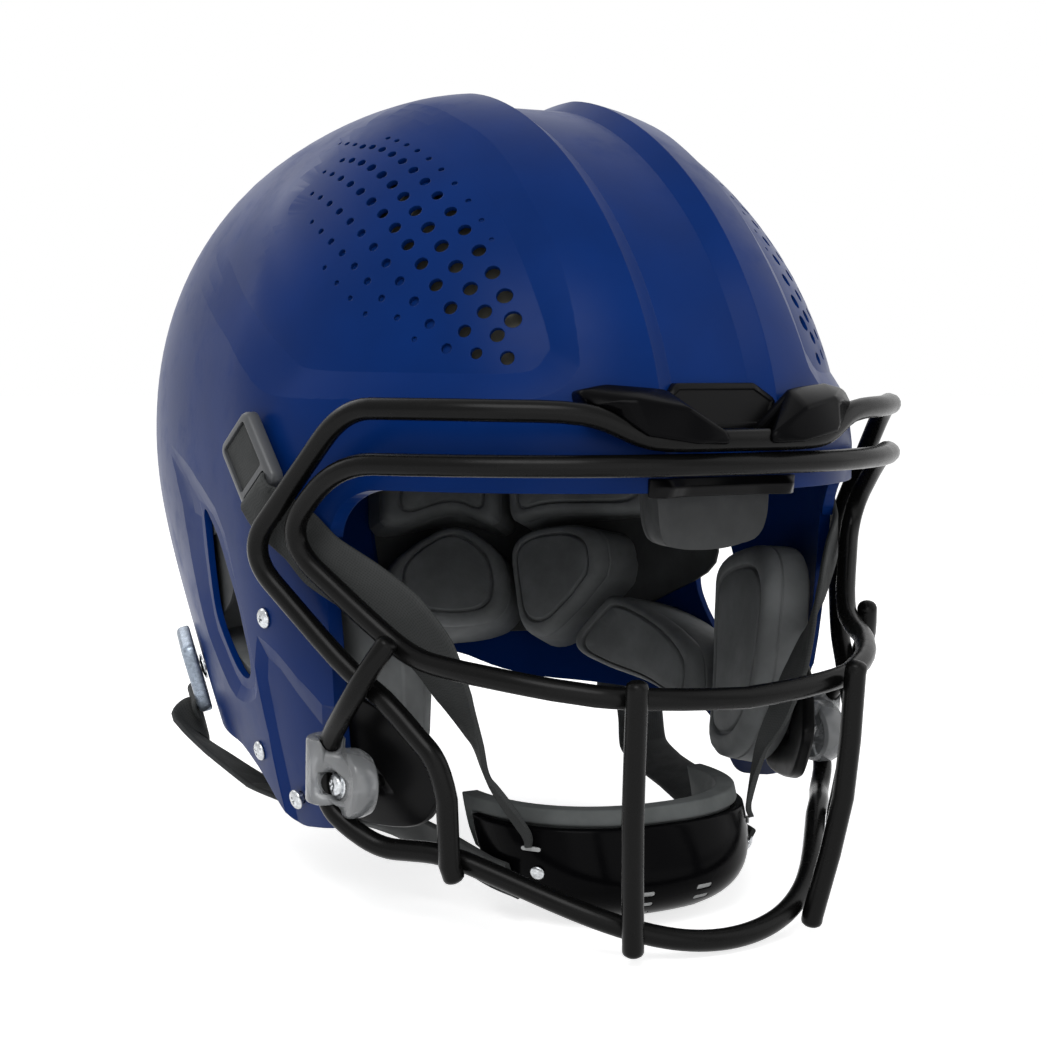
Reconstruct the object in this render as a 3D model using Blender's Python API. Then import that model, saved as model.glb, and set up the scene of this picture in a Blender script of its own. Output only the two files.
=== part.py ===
"""American football helmet with its face mask, pads and chin strap.

The wearer faces -Y and the helmet's left is +X. The origin is on the ground, under the
middle of the helmet. Sizes are millimetres here, and MM turns them into Blender's metres
when a mesh is made. Paired pieces are made once, on the left, and mirrored.
"""

import math

import bmesh
import bpy
from mathutils import Matrix, Vector

MM = 0.001
GAP = 0.3  # between two pieces that touch

# Shell: outer sizes measured from the widest level
HALF_WIDTH = 115.5
FRONT = 138.0
REAR = 184.0
RISE = 128.5
CENTRE_Y = -14.8
EQUATOR = 162.5
WALL = 4.6
RIM_LEVEL = 18.0  # the shell is made down to here, then trimmed

# The sunken band that runs over the crown from the brow to the nape
BAND_FLOOR = 14.8  # half width of its floor
BAND_EDGE = 22.5  # half width where its sloping sides end
BAND_DEPTH = 4.2

# How finely the shell is drawn
LOW_RINGS = 6
HIGH_RINGS = (9, 18, 28, 38, 48, 57, 66, 75, 82)  # degrees above the equator
SIDE_STEPS = 9  # points from the band's edge to the ring's widest point
CROWN_STEPS = 6  # rows from front to rear over the top

# The sizes at which the points below are drawn; other sizes stretch the points
DRAWN_HALF_WIDTH = 115.5
DRAWN_FRONT = 138.0
DRAWN_REAR = 184.0
DRAWN_RISE = 128.5
DRAWN_WIRE_RADIUS = 3.6

# Roundness of the shell's sections
PLAN_FRONT = 2.0
PLAN_FRONT_LOSS = 0.586  # how much the front of the plan sharpens up to the crown
PLAN_REAR = 2.87
PLAN_RIM = 2.2
SIDE_PROFILE = 2.444
REAR_PROFILE = 1.823
BROW_PROFILE = 1.78
SIDE_TAPER = 0.081  # share of the half width lost 100 mm below the equator
REAR_TAPER = 0.168
PLAN_FADE = 60.0

# Face opening and lower edge, drawn from the side
BROW_EDGE = 150.0
OPENING_CORNER = 20.0
NAPE_EDGE = 66.0

# Face mask
WIRE_RADIUS = 3.6
WELD_DISTANCE = 2 * WIRE_RADIUS + GAP
EYE_BAR_LEVEL = 159.2
CLIP_CLEARANCE = 0.35

PLATE_LIFT_TOP = 3.4  # how far the brow plate stands off the band's floor
PLATE_LIFT_FOOT = 5.0

# Snaps, buckles and straps
STUD_BASE_RADIUS = 5.0
STUD_NECK_RADIUS = 2.4
STUD_HEAD_RADIUS = 3.6
STUD_HEIGHT = 4.6
STUD_HOLE = 2.6
SNAP_CLEARANCE = 0.4
BUCKLE_LENGTH = 30.0
BUCKLE_WIDTH = 23.0
BUCKLE_THICKNESS = 5.4
STRAP_WIDTH = 20.0
STRAP_THICKNESS = 2.2

# Screws
SCREW_HEAD_RADIUS = 3.6
SCREW_HEAD_HEIGHT = 1.8
SCREW_SHANK_RADIUS = 1.9
SCREW_HOLE_RADIUS = 2.3
SCREW_FLANGE = 1.4  # how far the side clip screw's flange stands out round its head

# Chin cup
CUP_CENTRE = (0.0, -72.6, 35.5)
CUP_HALF_WIDTH = 51.0
CUP_FRONT = 48.0
CUP_DEPTH = 34.3
CUP_PLAN_POWER = 2.3  # roundness of the cup's plan
CUP_POWER = 3.0  # roundness of its sections
CUP_LEAN = 0.4  # how far the cup's front leans forward for each mm down
CUP_WALL = 3.0
CUP_PAD = 6.0
CUP_PAD_BEYOND = 6.0  # how far the pad stands out past the cup's rim and ends
CUP_SLOT_SIDE = 58.0  # degrees from straight ahead to the upper strap's slot and the rivet
CUP_RIVET_DOWN = 16.0  # degrees down from the rim to the rivet
RIVET_RADIUS = 2.6

# Pads
PAD_STAND_OFF = 0.9
PAD_THICKNESS = 29.0
JAW_PAD_THICKNESS = 24.0
FRONT_PAD_THICKNESS = 24.0
BRACKET_DEPTH = 5.0  # the jaw bracket's, between the jaw pad and the shell
BRACKET_LIFT = 0.7  # between the jaw bracket and the shell

BLACK = (0.012, 0.012, 0.013)
BLUE = (0.01, 0.045, 0.27)
GREY_PAD = (0.045, 0.048, 0.05)
STRAP_GREY = (0.06, 0.062, 0.065)
STEEL = (0.62, 0.62, 0.62)
SMOKE = (0.4, 0.41, 0.42)


# ---------------------------------------------------------------- scene


def clear_scene():
    for obj in list(bpy.data.objects):
        bpy.data.objects.remove(obj, do_unlink=True)


def new_collection(name):
    collection = bpy.data.collections.new(name)
    bpy.context.scene.collection.children.link(collection)
    return collection


clear_scene()
PARTS = new_collection("football_helmet")
CUTTERS = new_collection("cutters")


def paint(obj, colour, roughness, metallic=0.0):
    """Gives the object a material of its own."""
    material = bpy.data.materials.new(obj.name)
    material.use_nodes = True
    shader = material.node_tree.nodes["Principled BSDF"]
    shader.inputs["Base Color"].default_value = (*colour, 1)
    shader.inputs["Roughness"].default_value = roughness
    shader.inputs["Metallic"].default_value = metallic
    obj.data.materials.clear()
    obj.data.materials.append(material)


def add_mesh(name, bm, collection=None):
    """Makes an object of a mesh that is still in millimetres."""
    bmesh.ops.scale(bm, vec=(MM, MM, MM), verts=bm.verts)
    bmesh.ops.recalc_face_normals(bm, faces=bm.faces)
    mesh = bpy.data.meshes.new(name)
    bm.to_mesh(mesh)
    bm.free()
    mesh.shade_smooth()
    mesh.set_sharp_from_angle(angle=math.radians(35))
    obj = bpy.data.objects.new(name, mesh)
    (collection or PARTS).objects.link(obj)
    return obj


def hide_cutter(obj):
    obj.hide_render = True
    obj.display_type = "WIRE"


def evaluated_mesh(obj):
    """A plain mesh of the object as its modifiers leave it, with doubles merged."""
    bpy.context.view_layer.update()
    graph = bpy.context.evaluated_depsgraph_get()
    mesh = bpy.data.meshes.new_from_object(obj.evaluated_get(graph), depsgraph=graph)
    bm = bmesh.new()
    bm.from_mesh(mesh)
    bmesh.ops.remove_doubles(bm, verts=bm.verts, dist=1e-6)
    bm.to_mesh(mesh)
    bm.free()
    return mesh


def boolean(obj, other, operation="DIFFERENCE"):
    modifier = obj.modifiers.new(other.name, "BOOLEAN")
    modifier.operation = operation
    modifier.solver = "EXACT"
    modifier.object = other


def mirror_pair(obj, stem):
    """Turns the left piece into the pair stem_left and stem_right."""
    mesh = evaluated_mesh(obj)
    obj.modifiers.clear()
    obj.data = mesh
    obj.name = stem + "_left"
    twin_mesh = mesh.copy()
    twin_mesh.transform(Matrix.Diagonal((-1, 1, 1, 1)))
    twin_mesh.flip_normals()
    twin = bpy.data.objects.new(stem + "_right", twin_mesh)
    PARTS.objects.link(twin)
    return obj, twin


def paint_pair(pair, colour, roughness, metallic=0.0):
    for obj in pair:
        paint(obj, colour, roughness, metallic)


# ---------------------------------------------------------------- shell surface


def fitted(x, y, z):
    """A drawn point, carried along when the shell's sizes change."""
    length = FRONT / DRAWN_FRONT if y < CENTRE_Y else REAR / DRAWN_REAR
    height = RISE / DRAWN_RISE if z > EQUATOR else 1.0
    return Vector(
        (
            x * HALF_WIDTH / DRAWN_HALF_WIDTH,
            CENTRE_Y + (y - CENTRE_Y) * length,
            EQUATOR + (z - EQUATOR) * height,
        )
    )


def superellipse(share, power):
    return max(0.0, 1 - abs(share) ** power) ** (1 / power)


def section(z):
    """Half width, front length and rear length of the shell at height z."""
    above = min(1.0, max(0.0, (z - EQUATOR) / RISE))
    below = max(0.0, EQUATOR - z) / 100
    front = FRONT * superellipse(above, BROW_PROFILE)
    if above > 0:
        half = HALF_WIDTH * superellipse(above, SIDE_PROFILE)
        rear = REAR * superellipse(above, REAR_PROFILE)
    else:
        half = HALF_WIDTH * (1 - SIDE_TAPER * below**2)
        rear = REAR * (1 - REAR_TAPER * below**2)
    return half, front, rear


def front_power(z):
    return PLAN_FRONT - PLAN_FRONT_LOSS * min(1.0, max(0.0, (z - EQUATOR) / RISE))


def rear_power(z):
    depth = max(0.0, EQUATOR - z)
    return PLAN_RIM + (PLAN_REAR - PLAN_RIM) * math.exp(-((depth / PLAN_FADE) ** 2))


def shell_point(angle, z, inset=0.0, banded=True):
    """The shell's outer surface at an angle (0 left, 90 rear, -90 front), or a point under it."""
    half, front, rear = section(z)
    turn = math.radians(angle)
    ahead = math.sin(turn) < 0
    power = front_power(z) if ahead else rear_power(z)
    across = math.copysign(abs(math.cos(turn)) ** (2 / power), math.cos(turn))
    along = math.copysign(abs(math.sin(turn)) ** (2 / power), math.sin(turn))
    point = Vector((half * across, CENTRE_Y + (front if ahead else rear) * along, z))
    normal = shell_normal(point)
    return (in_band(point) if banded else point) - normal * inset


def in_band(point):
    """The point moved down into the sunken band, if it lies over it."""
    side = abs(point.x)
    if side >= BAND_EDGE:
        return point
    inward = Vector((0, CENTRE_Y - point.y, min(0.0, EQUATOR - point.z))).normalized()
    low, high = 0.0, 40.0
    edge = Vector((BAND_EDGE, point.y, point.z))
    for _ in range(24):
        middle = (low + high) / 2
        if depth_share(edge + inward * middle) > 1:
            low = middle
        else:
            high = middle
    slope = min(1.0, (BAND_EDGE - side) / (BAND_EDGE - BAND_FLOOR))
    return point + inward * (low + BAND_DEPTH * slope)


def depth_share(point):
    """1 on the shell's outer surface, less inside it."""
    half, front, rear = section(point.z)
    ahead = point.y < CENTRE_Y
    power = front_power(point.z) if ahead else rear_power(point.z)
    length = front if ahead else rear
    total = abs(point.x / half) ** power + abs((point.y - CENTRE_Y) / length) ** power
    return total ** (1 / power)


def shell_normal(point):
    step = 0.4
    limit = EQUATOR + RISE - 2.5
    base = Vector((point.x, point.y, min(point.z, limit)))
    slopes = []
    for axis in range(3):
        shift = Vector((0, 0, 0))
        shift[axis] = step
        slopes.append(depth_share(base + shift) - depth_share(base - shift))
    return Vector(slopes).normalized()


def angle_at(y, z):
    """The angle of the left surface point with this y."""
    _, front, rear = section(z)
    ahead = y < CENTRE_Y
    power = front_power(z) if ahead else rear_power(z)
    share = min(1.0, abs(y - CENTRE_Y) / (front if ahead else rear))
    return math.degrees(math.copysign(math.asin(share ** (power / 2)), y - CENTRE_Y))


def on_shell(y, z, inset=0.0):
    """The point of the left surface at a drawn y and z."""
    drawn = fitted(0, y, z)
    return shell_point(angle_at(drawn.y, drawn.z), drawn.z, inset)


def front_y(x, z):
    """How far forward the shell's front reaches at a distance from the middle plane."""
    half, front, _ = section(z)
    surface = Vector((x, CENTRE_Y - front * superellipse(x / half, front_power(z)), z))
    return in_band(surface).y


# ---------------------------------------------------------------- solids


def ring_solid(name, rings, first_pole=None, last_pole=None, collection=None):
    """A closed solid through rings of equal length, each end a pole or a flat cap."""
    bm = bmesh.new()
    rows = [[bm.verts.new(point) for point in ring] for ring in rings]
    count = len(rings[0])
    for one, two in zip(rows, rows[1:]):
        for k in range(count):
            after = (k + 1) % count
            bm.faces.new((one[k], one[after], two[after], two[k]))
    for pole, row in ((first_pole, rows[0]), (last_pole, rows[-1])):
        if pole is None:
            bm.faces.new(row)
            continue
        tip = bm.verts.new(pole)
        for k in range(count):
            bm.faces.new((tip, row[k], row[(k + 1) % count]))
    return add_mesh(name, bm, collection)


def hull_solid(name, points, collection=None):
    bm = bmesh.new()
    for point in points:
        bm.verts.new(point)
    made = bmesh.ops.convex_hull(bm, input=bm.verts)
    spare = made["geom_interior"] + made["geom_unused"]
    loose = {item for item in spare if isinstance(item, bmesh.types.BMVert)}
    bmesh.ops.delete(bm, geom=list(loose), context="VERTS")
    bmesh.ops.dissolve_limit(bm, angle_limit=0.01, verts=bm.verts, edges=bm.edges)
    return add_mesh(name, bm, collection)


def circle(centre, normal, radius, sides=12, start=0.0):
    """Points of a circle round a centre, in the plane across the normal."""
    normal = Vector(normal).normalized()
    reference = Vector((0, 0, 1)) if abs(normal.z) < 0.9 else Vector((1, 0, 0))
    across = normal.cross(reference).normalized()
    up = across.cross(normal)
    points = []
    for k in range(sides):
        turn = start + 2 * math.pi * k / sides
        points.append(Vector(centre) + across * radius * math.cos(turn) + up * radius * math.sin(turn))
    return points


def cylinder(name, start, end, radius, sides=12, collection=None):
    start, end = Vector(start), Vector(end)
    axis = end - start
    bm = bmesh.new()
    bmesh.ops.create_cone(
        bm, cap_ends=True, segments=sides, radius1=radius, radius2=radius, depth=axis.length
    )
    turn = Vector((0, 0, 1)).rotation_difference(axis).to_matrix().to_4x4()
    bm.transform(Matrix.Translation((start + end) / 2) @ turn)
    obj = add_mesh(name, bm, collection)
    if collection is CUTTERS:
        hide_cutter(obj)
    return obj


def turned(name, origin, axis, profile, sides=12, collection=None):
    """A solid of revolution: profile points are (radius, height along the axis), bottom to top."""
    origin, axis = Vector(origin), Vector(axis).normalized()
    rings = [circle(origin + axis * height, axis, radius, sides) for radius, height in profile]
    return ring_solid(name, rings, collection=collection)


def outline_cutter(name, outline, start, end):
    """A cutter with a side-view outline of (y, z) points, from x = start to x = end."""
    curve = bpy.data.curves.new(name, "CURVE")
    curve.dimensions = "2D"
    curve.fill_mode = "BOTH"
    curve.extrude = abs(end - start) / 2 * MM
    spline = curve.splines.new("POLY")
    spline.points.add(len(outline) - 1)
    spline.use_cyclic_u = True
    for point, (y, z) in zip(spline.points, outline):
        point.co = (y * MM, z * MM, 0, 1)
    guide = bpy.data.objects.new(name + "_outline", curve)
    CUTTERS.objects.link(guide)
    mesh = evaluated_mesh(guide)
    bpy.data.objects.remove(guide, do_unlink=True)
    # The outline's plane becomes the YZ plane, and its thickness runs along X.
    mesh.transform(Matrix(((0, 0, 1, (start + end) / 2 * MM), (1, 0, 0, 0), (0, 1, 0, 0), (0, 0, 0, 1))))
    obj = bpy.data.objects.new(name, mesh)
    CUTTERS.objects.link(obj)
    hide_cutter(obj)
    return obj


def bent(points, cut, closed=False, step=14.0):
    """The path with each corner rounded from up to `cut` before it to `cut` after it."""
    points = [Vector(point) for point in points]
    count = len(points)
    path = [] if closed else [points[0]]
    for k in range(count) if closed else range(1, count - 1):
        corner, before, after = points[k], points[k - 1], points[(k + 1) % count]
        back, ahead = before - corner, after - corner
        start = corner + back.normalized() * min(cut, back.length / 2)
        end = corner + ahead.normalized() * min(cut, ahead.length / 2)
        turn = math.degrees(math.pi - back.angle(ahead))
        pieces = max(1, round(turn / step))
        for j in range(pieces + 1):
            t = j / pieces
            path.append(start * (1 - t) ** 2 + corner * 2 * t * (1 - t) + end * t**2)
    if not closed:
        path.append(points[-1])
    kept = [path[0]]
    for point in path[1:]:
        if (point - kept[-1]).length > 0.5:
            kept.append(point)
    if closed and (kept[0] - kept[-1]).length < 0.5:
        kept.pop()
    return kept


def mirrored_path(half):
    """The whole path whose left half starts on the middle plane."""
    right = [Vector((-point.x, point.y, point.z)) for point in reversed(half)]
    return right + (half[1:] if abs(half[0].x) < 0.01 else half)


def wire_object(name, path, radius, collection, closed=False, resolution=2):
    curve = bpy.data.curves.new(name, "CURVE")
    curve.dimensions = "3D"
    curve.bevel_depth = radius * MM
    curve.bevel_resolution = resolution
    curve.use_fill_caps = True
    spline = curve.splines.new("POLY")
    spline.points.add(len(path) - 1)
    spline.use_cyclic_u = closed
    for point, place in zip(spline.points, path):
        point.co = (*(place * MM), 1)
    obj = bpy.data.objects.new(name, curve)
    collection.objects.link(obj)
    return obj


def wire_cutter(name, path, radius, closed=False):
    """A fatter copy of a wire, as a mesh, that cuts the channel it lies in."""
    guide = wire_object(name + "_guide", path, radius, CUTTERS, closed)
    mesh = evaluated_mesh(guide)
    obj = bpy.data.objects.new(name, mesh)
    obj.matrix_world = guide.matrix_world
    bpy.data.objects.remove(guide, do_unlink=True)
    CUTTERS.objects.link(obj)
    hide_cutter(obj)
    return obj


# ---------------------------------------------------------------- shell


def side_outline():
    """What is trimmed off: the face opening, and all that is below the lower edge."""
    corner = [(-88.0, BROW_EDGE)]
    for turn in (30, 60):
        corner.append(
            (
                -93.0 + OPENING_CORNER * math.sin(math.radians(turn)),
                BROW_EDGE - OPENING_CORNER * (1 - math.cos(math.radians(turn))),
            )
        )
    front = [(-71.0, 138.0), (-70.2, 120.0), (-70.2, 94.0), (-66.0, 60.0), (-63.5, 40.0), (-60.0, 33.5)]
    jaw = [(-52.0, 30.5), (-28.0, 27.0), (-19.0, 32.0), (-6.0, 44.0), (11.0, 51.0), (92.0, 51.0)]
    nape = [(108.0, 54.0), (124.0, 62.0), (136.0, NAPE_EDGE)]
    outside = [(260.0, NAPE_EDGE), (260.0, -40.0), (-260.0, -40.0), (-260.0, BROW_EDGE)]
    drawn = corner + front + jaw + nape + outside
    return [tuple(fitted(0, y, z)[1:]) for y, z in drawn]


SLOT_OUTLINE = (
    (20, 139), (7, 128), (-6, 105), (-11, 84), (-8, 77), (2, 78), (14, 88), (22, 98), (22, 134),
)


def ring_angles(level):
    """The angles of a ring's points, so placed that the band's edges run along them."""
    half, _, _ = section(level)
    angles = []
    for start, turned_round in ((0, False), (90, True), (180, False), (270, True)):
        power = rear_power(level) if start < 180 else front_power(level)
        floor, edge = (
            math.degrees(math.asin((width / half) ** (power / 2))) for width in (BAND_FLOOR, BAND_EDGE)
        )
        step = (90 - edge) / SIDE_STEPS
        quarter = [0.0, floor] + [edge + step * k for k in range(SIDE_STEPS + 1)]
        if turned_round:
            angles += [start + angle for angle in quarter[:-1]]
        else:
            angles += [start + 90 - angle for angle in reversed(quarter)][:-1]
    return angles


def shell_rings(offset=0.0):
    """Rings of the outer surface from the rim level up to just under the crown."""
    low_step = (EQUATOR - RIM_LEVEL) / LOW_RINGS
    levels = [RIM_LEVEL + low_step * k for k in range(LOW_RINGS + 1)]
    levels += [EQUATOR + RISE * math.sin(math.radians(turn)) for turn in HIGH_RINGS]
    return [[shell_point(angle, level, -offset) for angle in ring_angles(level)] for level in levels]


def crown_height(x, y):
    """The height of the smooth surface over a place near the crown."""
    low, high = EQUATOR, EQUATOR + RISE
    for _ in range(30):
        middle = (low + high) / 2
        if depth_share(Vector((x, y, middle))) < 1:
            low = middle
        else:
            high = middle
    return low


def crown_row(rear, front, offset):
    """Points over the crown from a rear point of the last ring to the front one facing it."""
    row = []
    for k in range(1, CROWN_STEPS):
        place = rear.lerp(front, k / CROWN_STEPS)
        top = crown_height(place.x, place.y)
        surface = in_band(Vector((place.x, place.y, top)))
        row.append(surface + Vector((0, 0, offset)))
    return row


def shell_solid(name, offset, collection=None):
    """The whole shell's outside as one filled solid, grown by an offset."""
    bm = bmesh.new()
    rows = [[bm.verts.new(point) for point in ring] for ring in shell_rings(offset)]
    count = len(rows[0])
    for one, two in zip(rows, rows[1:]):
        for k in range(count):
            after = (k + 1) % count
            bm.faces.new((one[k], one[after], two[after], two[k]))
    bm.faces.new(rows[0])
    # Over the crown, rows of points join each rear point of the last ring to the front
    # one at the same distance from the middle plane.
    last = rows[-1]
    half = count // 2
    lanes = []
    for k in range(1, half):
        rear, front = last[k], last[count - k]
        between_them = [bm.verts.new(point) for point in crown_row(rear.co, front.co, offset)]
        lanes.append([rear, *between_them, front])
    for side, lane in ((last[0], lanes[0]), (last[half], lanes[-1])):
        for one, two in zip(lane, lane[1:]):
            bm.faces.new((side, one, two))
    for one, two in zip(lanes, lanes[1:]):
        for k in range(CROWN_STEPS):
            bm.faces.new((one[k], one[k + 1], two[k + 1], two[k]))
    solid = add_mesh(name, bm, collection)
    if collection is CUTTERS:
        hide_cutter(solid)
    return solid


def make_shell(holes):
    shell = shell_solid("shell", 0.0)
    boolean(shell, shell_solid("head_room", -WALL, CUTTERS))
    boolean(shell, outline_cutter("opening_cutter", side_outline(), -200, 200))
    slot = [tuple(fitted(0, y, z)[1:]) for y, z in SLOT_OUTLINE]
    for name, start, end in (("slot_cutter_left", 60, 160), ("slot_cutter_right", -160, -60)):
        boolean(shell, outline_cutter(name, slot, start, end))
    for hole in holes:
        boolean(shell, hole)
    paint(shell, BLUE, 0.25)


# ---------------------------------------------------------------- face mask


def wire_spread(x, share):
    """How far a fatter wire stands out at the side, to stay clear of what runs inside it."""
    grown = WIRE_RADIUS - DRAWN_WIRE_RADIUS
    side = min(1.0, max(0.0, (x - 70.0) / 30.0))
    return Vector((0.85, -0.5, 0)) * grown * share * side


def eye_wire_half():
    """Left half of the closed wire round the eyes, from the middle of its top bar."""
    drawn = (
        (0, -161.0, EYE_BAR_LEVEL), (33, -159.0, EYE_BAR_LEVEL), (55, -150.5, EYE_BAR_LEVEL),
        (75, -138.0, EYE_BAR_LEVEL), (95, -118.5, EYE_BAR_LEVEL), (110.5, -94.5, EYE_BAR_LEVEL),
        (118.0, -66.5, 133.6), (92.5, -95.5, 101.3), (87.5, -107, 96), (83, -118, 94.5),
        (76, -129, 93), (66, -141, 91), (55, -150, 88.8), (44, -157, 87.5), (22, -162, 86), (0, -163, 85),
    )
    return [fitted(*point) + wire_spread(point[0], 1.4) for point in drawn]


def top_wire_half():
    """Left half of the top wire: a dip at the brow clips, then round the eye wire to the jaw."""
    dip = EYE_BAR_LEVEL + WELD_DISTANCE
    drawn = (
        (0, -161.0, dip), (27, -160.0, dip), (36, -157.5, dip + 1.3), (47, -152.5, dip + 7.5),
        (58, -147.5, 176.0), (72, -139.5, 176.2), (86, -128.0, 176.5), (98, -114.0, 176.6),
        (109.0, -97.5, 176.6), (124.0, -50.0, 128.0), (101.0, -82.0, 90.0), (94, -94, 82.5),
        (88, -105, 71), (85, -111, 66), (82.5, -113.5, 58), (80, -114, 45),
    )
    return [fitted(*point) + wire_spread(point[0], 3.4) for point in drawn]


def between(path, height, least_x):
    """The point at a height on the left side of a path, between two of its points."""
    found = []
    for one, two in zip(path, path[1:]):
        if min(one.x, two.x) > least_x and min(one.z, two.z) <= height <= max(one.z, two.z):
            share = (height - one.z) / (two.z - one.z)
            found.append(one.lerp(two, share))
    return min(found, key=lambda point: point.x)


def make_mask():
    eye_half = bent(eye_wire_half(), 17.0)
    top_half = bent(top_wire_half(), 15.0)
    # The chin wire starts against the outside of the eye wire and crosses the outside of the
    # top wire, and the top wire's end is welded to the chin wire's outside.
    knob = between(eye_half, 101.5, 60) + Vector((0.6, -0.8, 0)) * (WELD_DISTANCE + GAP)
    crossing = between(top_half, 85.5, 60) + Vector((0.893, -0.423, -0.155)) * WELD_DISTANCE
    run = Vector((0.16, 0.62, -0.77)) * 7.0
    drawn = (
        (104, -72.6, 66.4), (104, -66.6, 54.4), (103, -69, 43), (99, -76, 37), (91, -83.5, 30.5),
        (84, -93, 30.5), (78, -100.5, 31), (65, -114, 26), (56, -127, 20.5), (47, -136, 16),
        (37, -146, 11.5), (20, -154, 6),
    )
    chin_half = [knob, crossing - run, crossing + run] + [fitted(*point) for point in drawn]
    middle = fitted(0, -156, 4)
    middle.z = WIRE_RADIUS
    chin_half.append(middle)
    chin_half = bent(chin_half, 12.0)
    foot = at_side(chin_half, 74.0 * HALF_WIDTH / DRAWN_HALF_WIDTH)
    top_half[-1] = foot + Vector((0.62, -0.78, 0.0)) * WELD_DISTANCE
    top_half.append(top_half[-1] + Vector((-0.3, -0.2, -1)) * 4.0)
    eye_path = mirrored_path(eye_half)
    eye_path = eye_path[:-1] if (eye_path[0] - eye_path[-1]).length < 0.5 else eye_path
    chin_half.reverse()
    paths = {
        "mask_top_wire": mirrored_path(top_half),
        "mask_eye_wire": eye_path,
        "mask_chin_wire": mirrored_path(chin_half),
    }
    for name, path in paths.items():
        paint(wire_object(name, path, WIRE_RADIUS, PARTS, closed=name == "mask_eye_wire"), BLACK, 0.35)
    make_uprights(eye_half, chin_half)
    return paths


def at_side(path, x):
    """The lowest point of a path at a distance from the middle plane."""
    found = []
    for one, two in zip(path, path[1:]):
        if min(one.x, two.x) <= x <= max(one.x, two.x) and one.x != two.x:
            found.append(one.lerp(two, (x - one.x) / (two.x - one.x)))
    return min(found, key=lambda point: point.z)


def make_uprights(eye_half, chin_half):
    """Two short wires in front of the eye wire's and the chin wire's lower bars."""
    stretch = HALF_WIDTH / DRAWN_HALF_WIDTH
    top = at_side(eye_half, 40.0 * stretch)
    foot = at_side(chin_half, 32.5 * stretch)
    top = top + Vector((0.25, -0.968, 0)) * WELD_DISTANCE
    foot = foot + Vector((0.4, -0.9, -0.15)).normalized() * WELD_DISTANCE
    lean = (top - foot).normalized()
    middle = (top + foot) / 2 + Vector((3.0, -3.0, 0))
    path = bent([foot - lean * 4.0, foot, middle, top, top + lean * 5.0], 40.0)
    wire = wire_object("mask_upright_left", path, WIRE_RADIUS, PARTS)
    twin_path = [Vector((-point.x, point.y, point.z)) for point in path]
    twin = wire_object("mask_upright_right", twin_path, WIRE_RADIUS, PARTS)
    paint_pair((wire, twin), BLACK, 0.35)


# ---------------------------------------------------------------- pieces on the shell


def make_brow_plate(seat):
    """A bare six-sided plate: its front is flat and its back follows the shell."""
    outline = ((-15, 184.5), (15, 184.5), (22.7, 179), (18, 170), (-18, 170), (-22.7, 179))
    drawn = [fitted(x, 0, z) for x, z in outline]
    top, bottom = drawn[0].z, drawn[3].z
    y_top, y_bottom = front_y(0, top) - PLATE_LIFT_TOP, front_y(0, bottom) - PLATE_LIFT_FOOT
    slope = (y_top - y_bottom) / (top - bottom)
    face = [Vector((p.x, y_bottom + slope * (p.z - bottom), p.z)) for p in drawn]
    back = [Vector((p.x, p.y + 12.0, p.z)) for p in face]
    plate = hull_solid("brow_plate", face + back)
    boolean(plate, seat)
    paint(plate, BLACK, 0.3)


def make_front_clips(seat, channel, plate_room):
    """Wing-shaped clips that hold the top wire to the brow."""
    drawn = (
        (8, -165.5, 165.5), (8, -166, 168.5), (8, -154, 170.5), (8, -154, 165.5),
        (20, -167, 166), (22, -164.5, 177), (24, -152, 183), (36, -163, 168.5), (38, -159, 180),
        (42, -147, 184.5), (50, -152.5, 177), (51.5, -146, 182.5), (49, -136, 182), (46, -134, 172),
        (30, -141, 166.5), (20, -153, 165.5), (26, -141, 176),
    )
    points = []
    for x, y, z in drawn:
        points.append(fitted(x, y, z))
    clip = hull_solid("front_clip", points)
    boolean(clip, seat)
    boolean(clip, plate_room)
    boolean(clip, channel)
    paint_pair(mirror_pair(clip, "front_clip"), BLACK, 0.3)


def make_brow_lip(seat):
    """The black lip that edges the shell over the face opening."""
    drawn = []
    low = BROW_EDGE - 1.5
    for x in (-28, -14, 0, 14, 28):
        front = front_y(x * HALF_WIDTH / DRAWN_HALF_WIDTH, fitted(0, 0, 153).z)
        for depth, z in ((-2.2, 154.6), (-4.6, 151.8), (-3.0, low), (2, low), (2, 154.6)):
            drawn.append(Vector((x * HALF_WIDTH / DRAWN_HALF_WIDTH, front + depth, z)))
    lip = hull_solid("brow_lip", drawn)
    boolean(lip, seat)
    paint(lip, BLACK, 0.35)


def make_rear_bumper(seat):
    """A black block at the middle of the nape edge, with a flat field on its back."""
    stretch = HALF_WIDTH / DRAWN_HALF_WIDTH
    points = []
    for x, depth, low, high in ((34, 1.0, 70, 84), (20, 4.2, 68, 88)):
        for sign in (-1, 1):
            for z in (low, high):
                surface = CENTRE_Y + section(z)[2]
                base = CENTRE_Y + section((low + high) / 2)[2]
                points.append(Vector((sign * x * stretch, base + depth, z)))
                points.append(Vector((sign * x * stretch, surface - 12, z)))
    bumper = hull_solid("rear_bumper", points)
    boolean(bumper, seat)
    paint(bumper, BLACK, 0.4)


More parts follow.
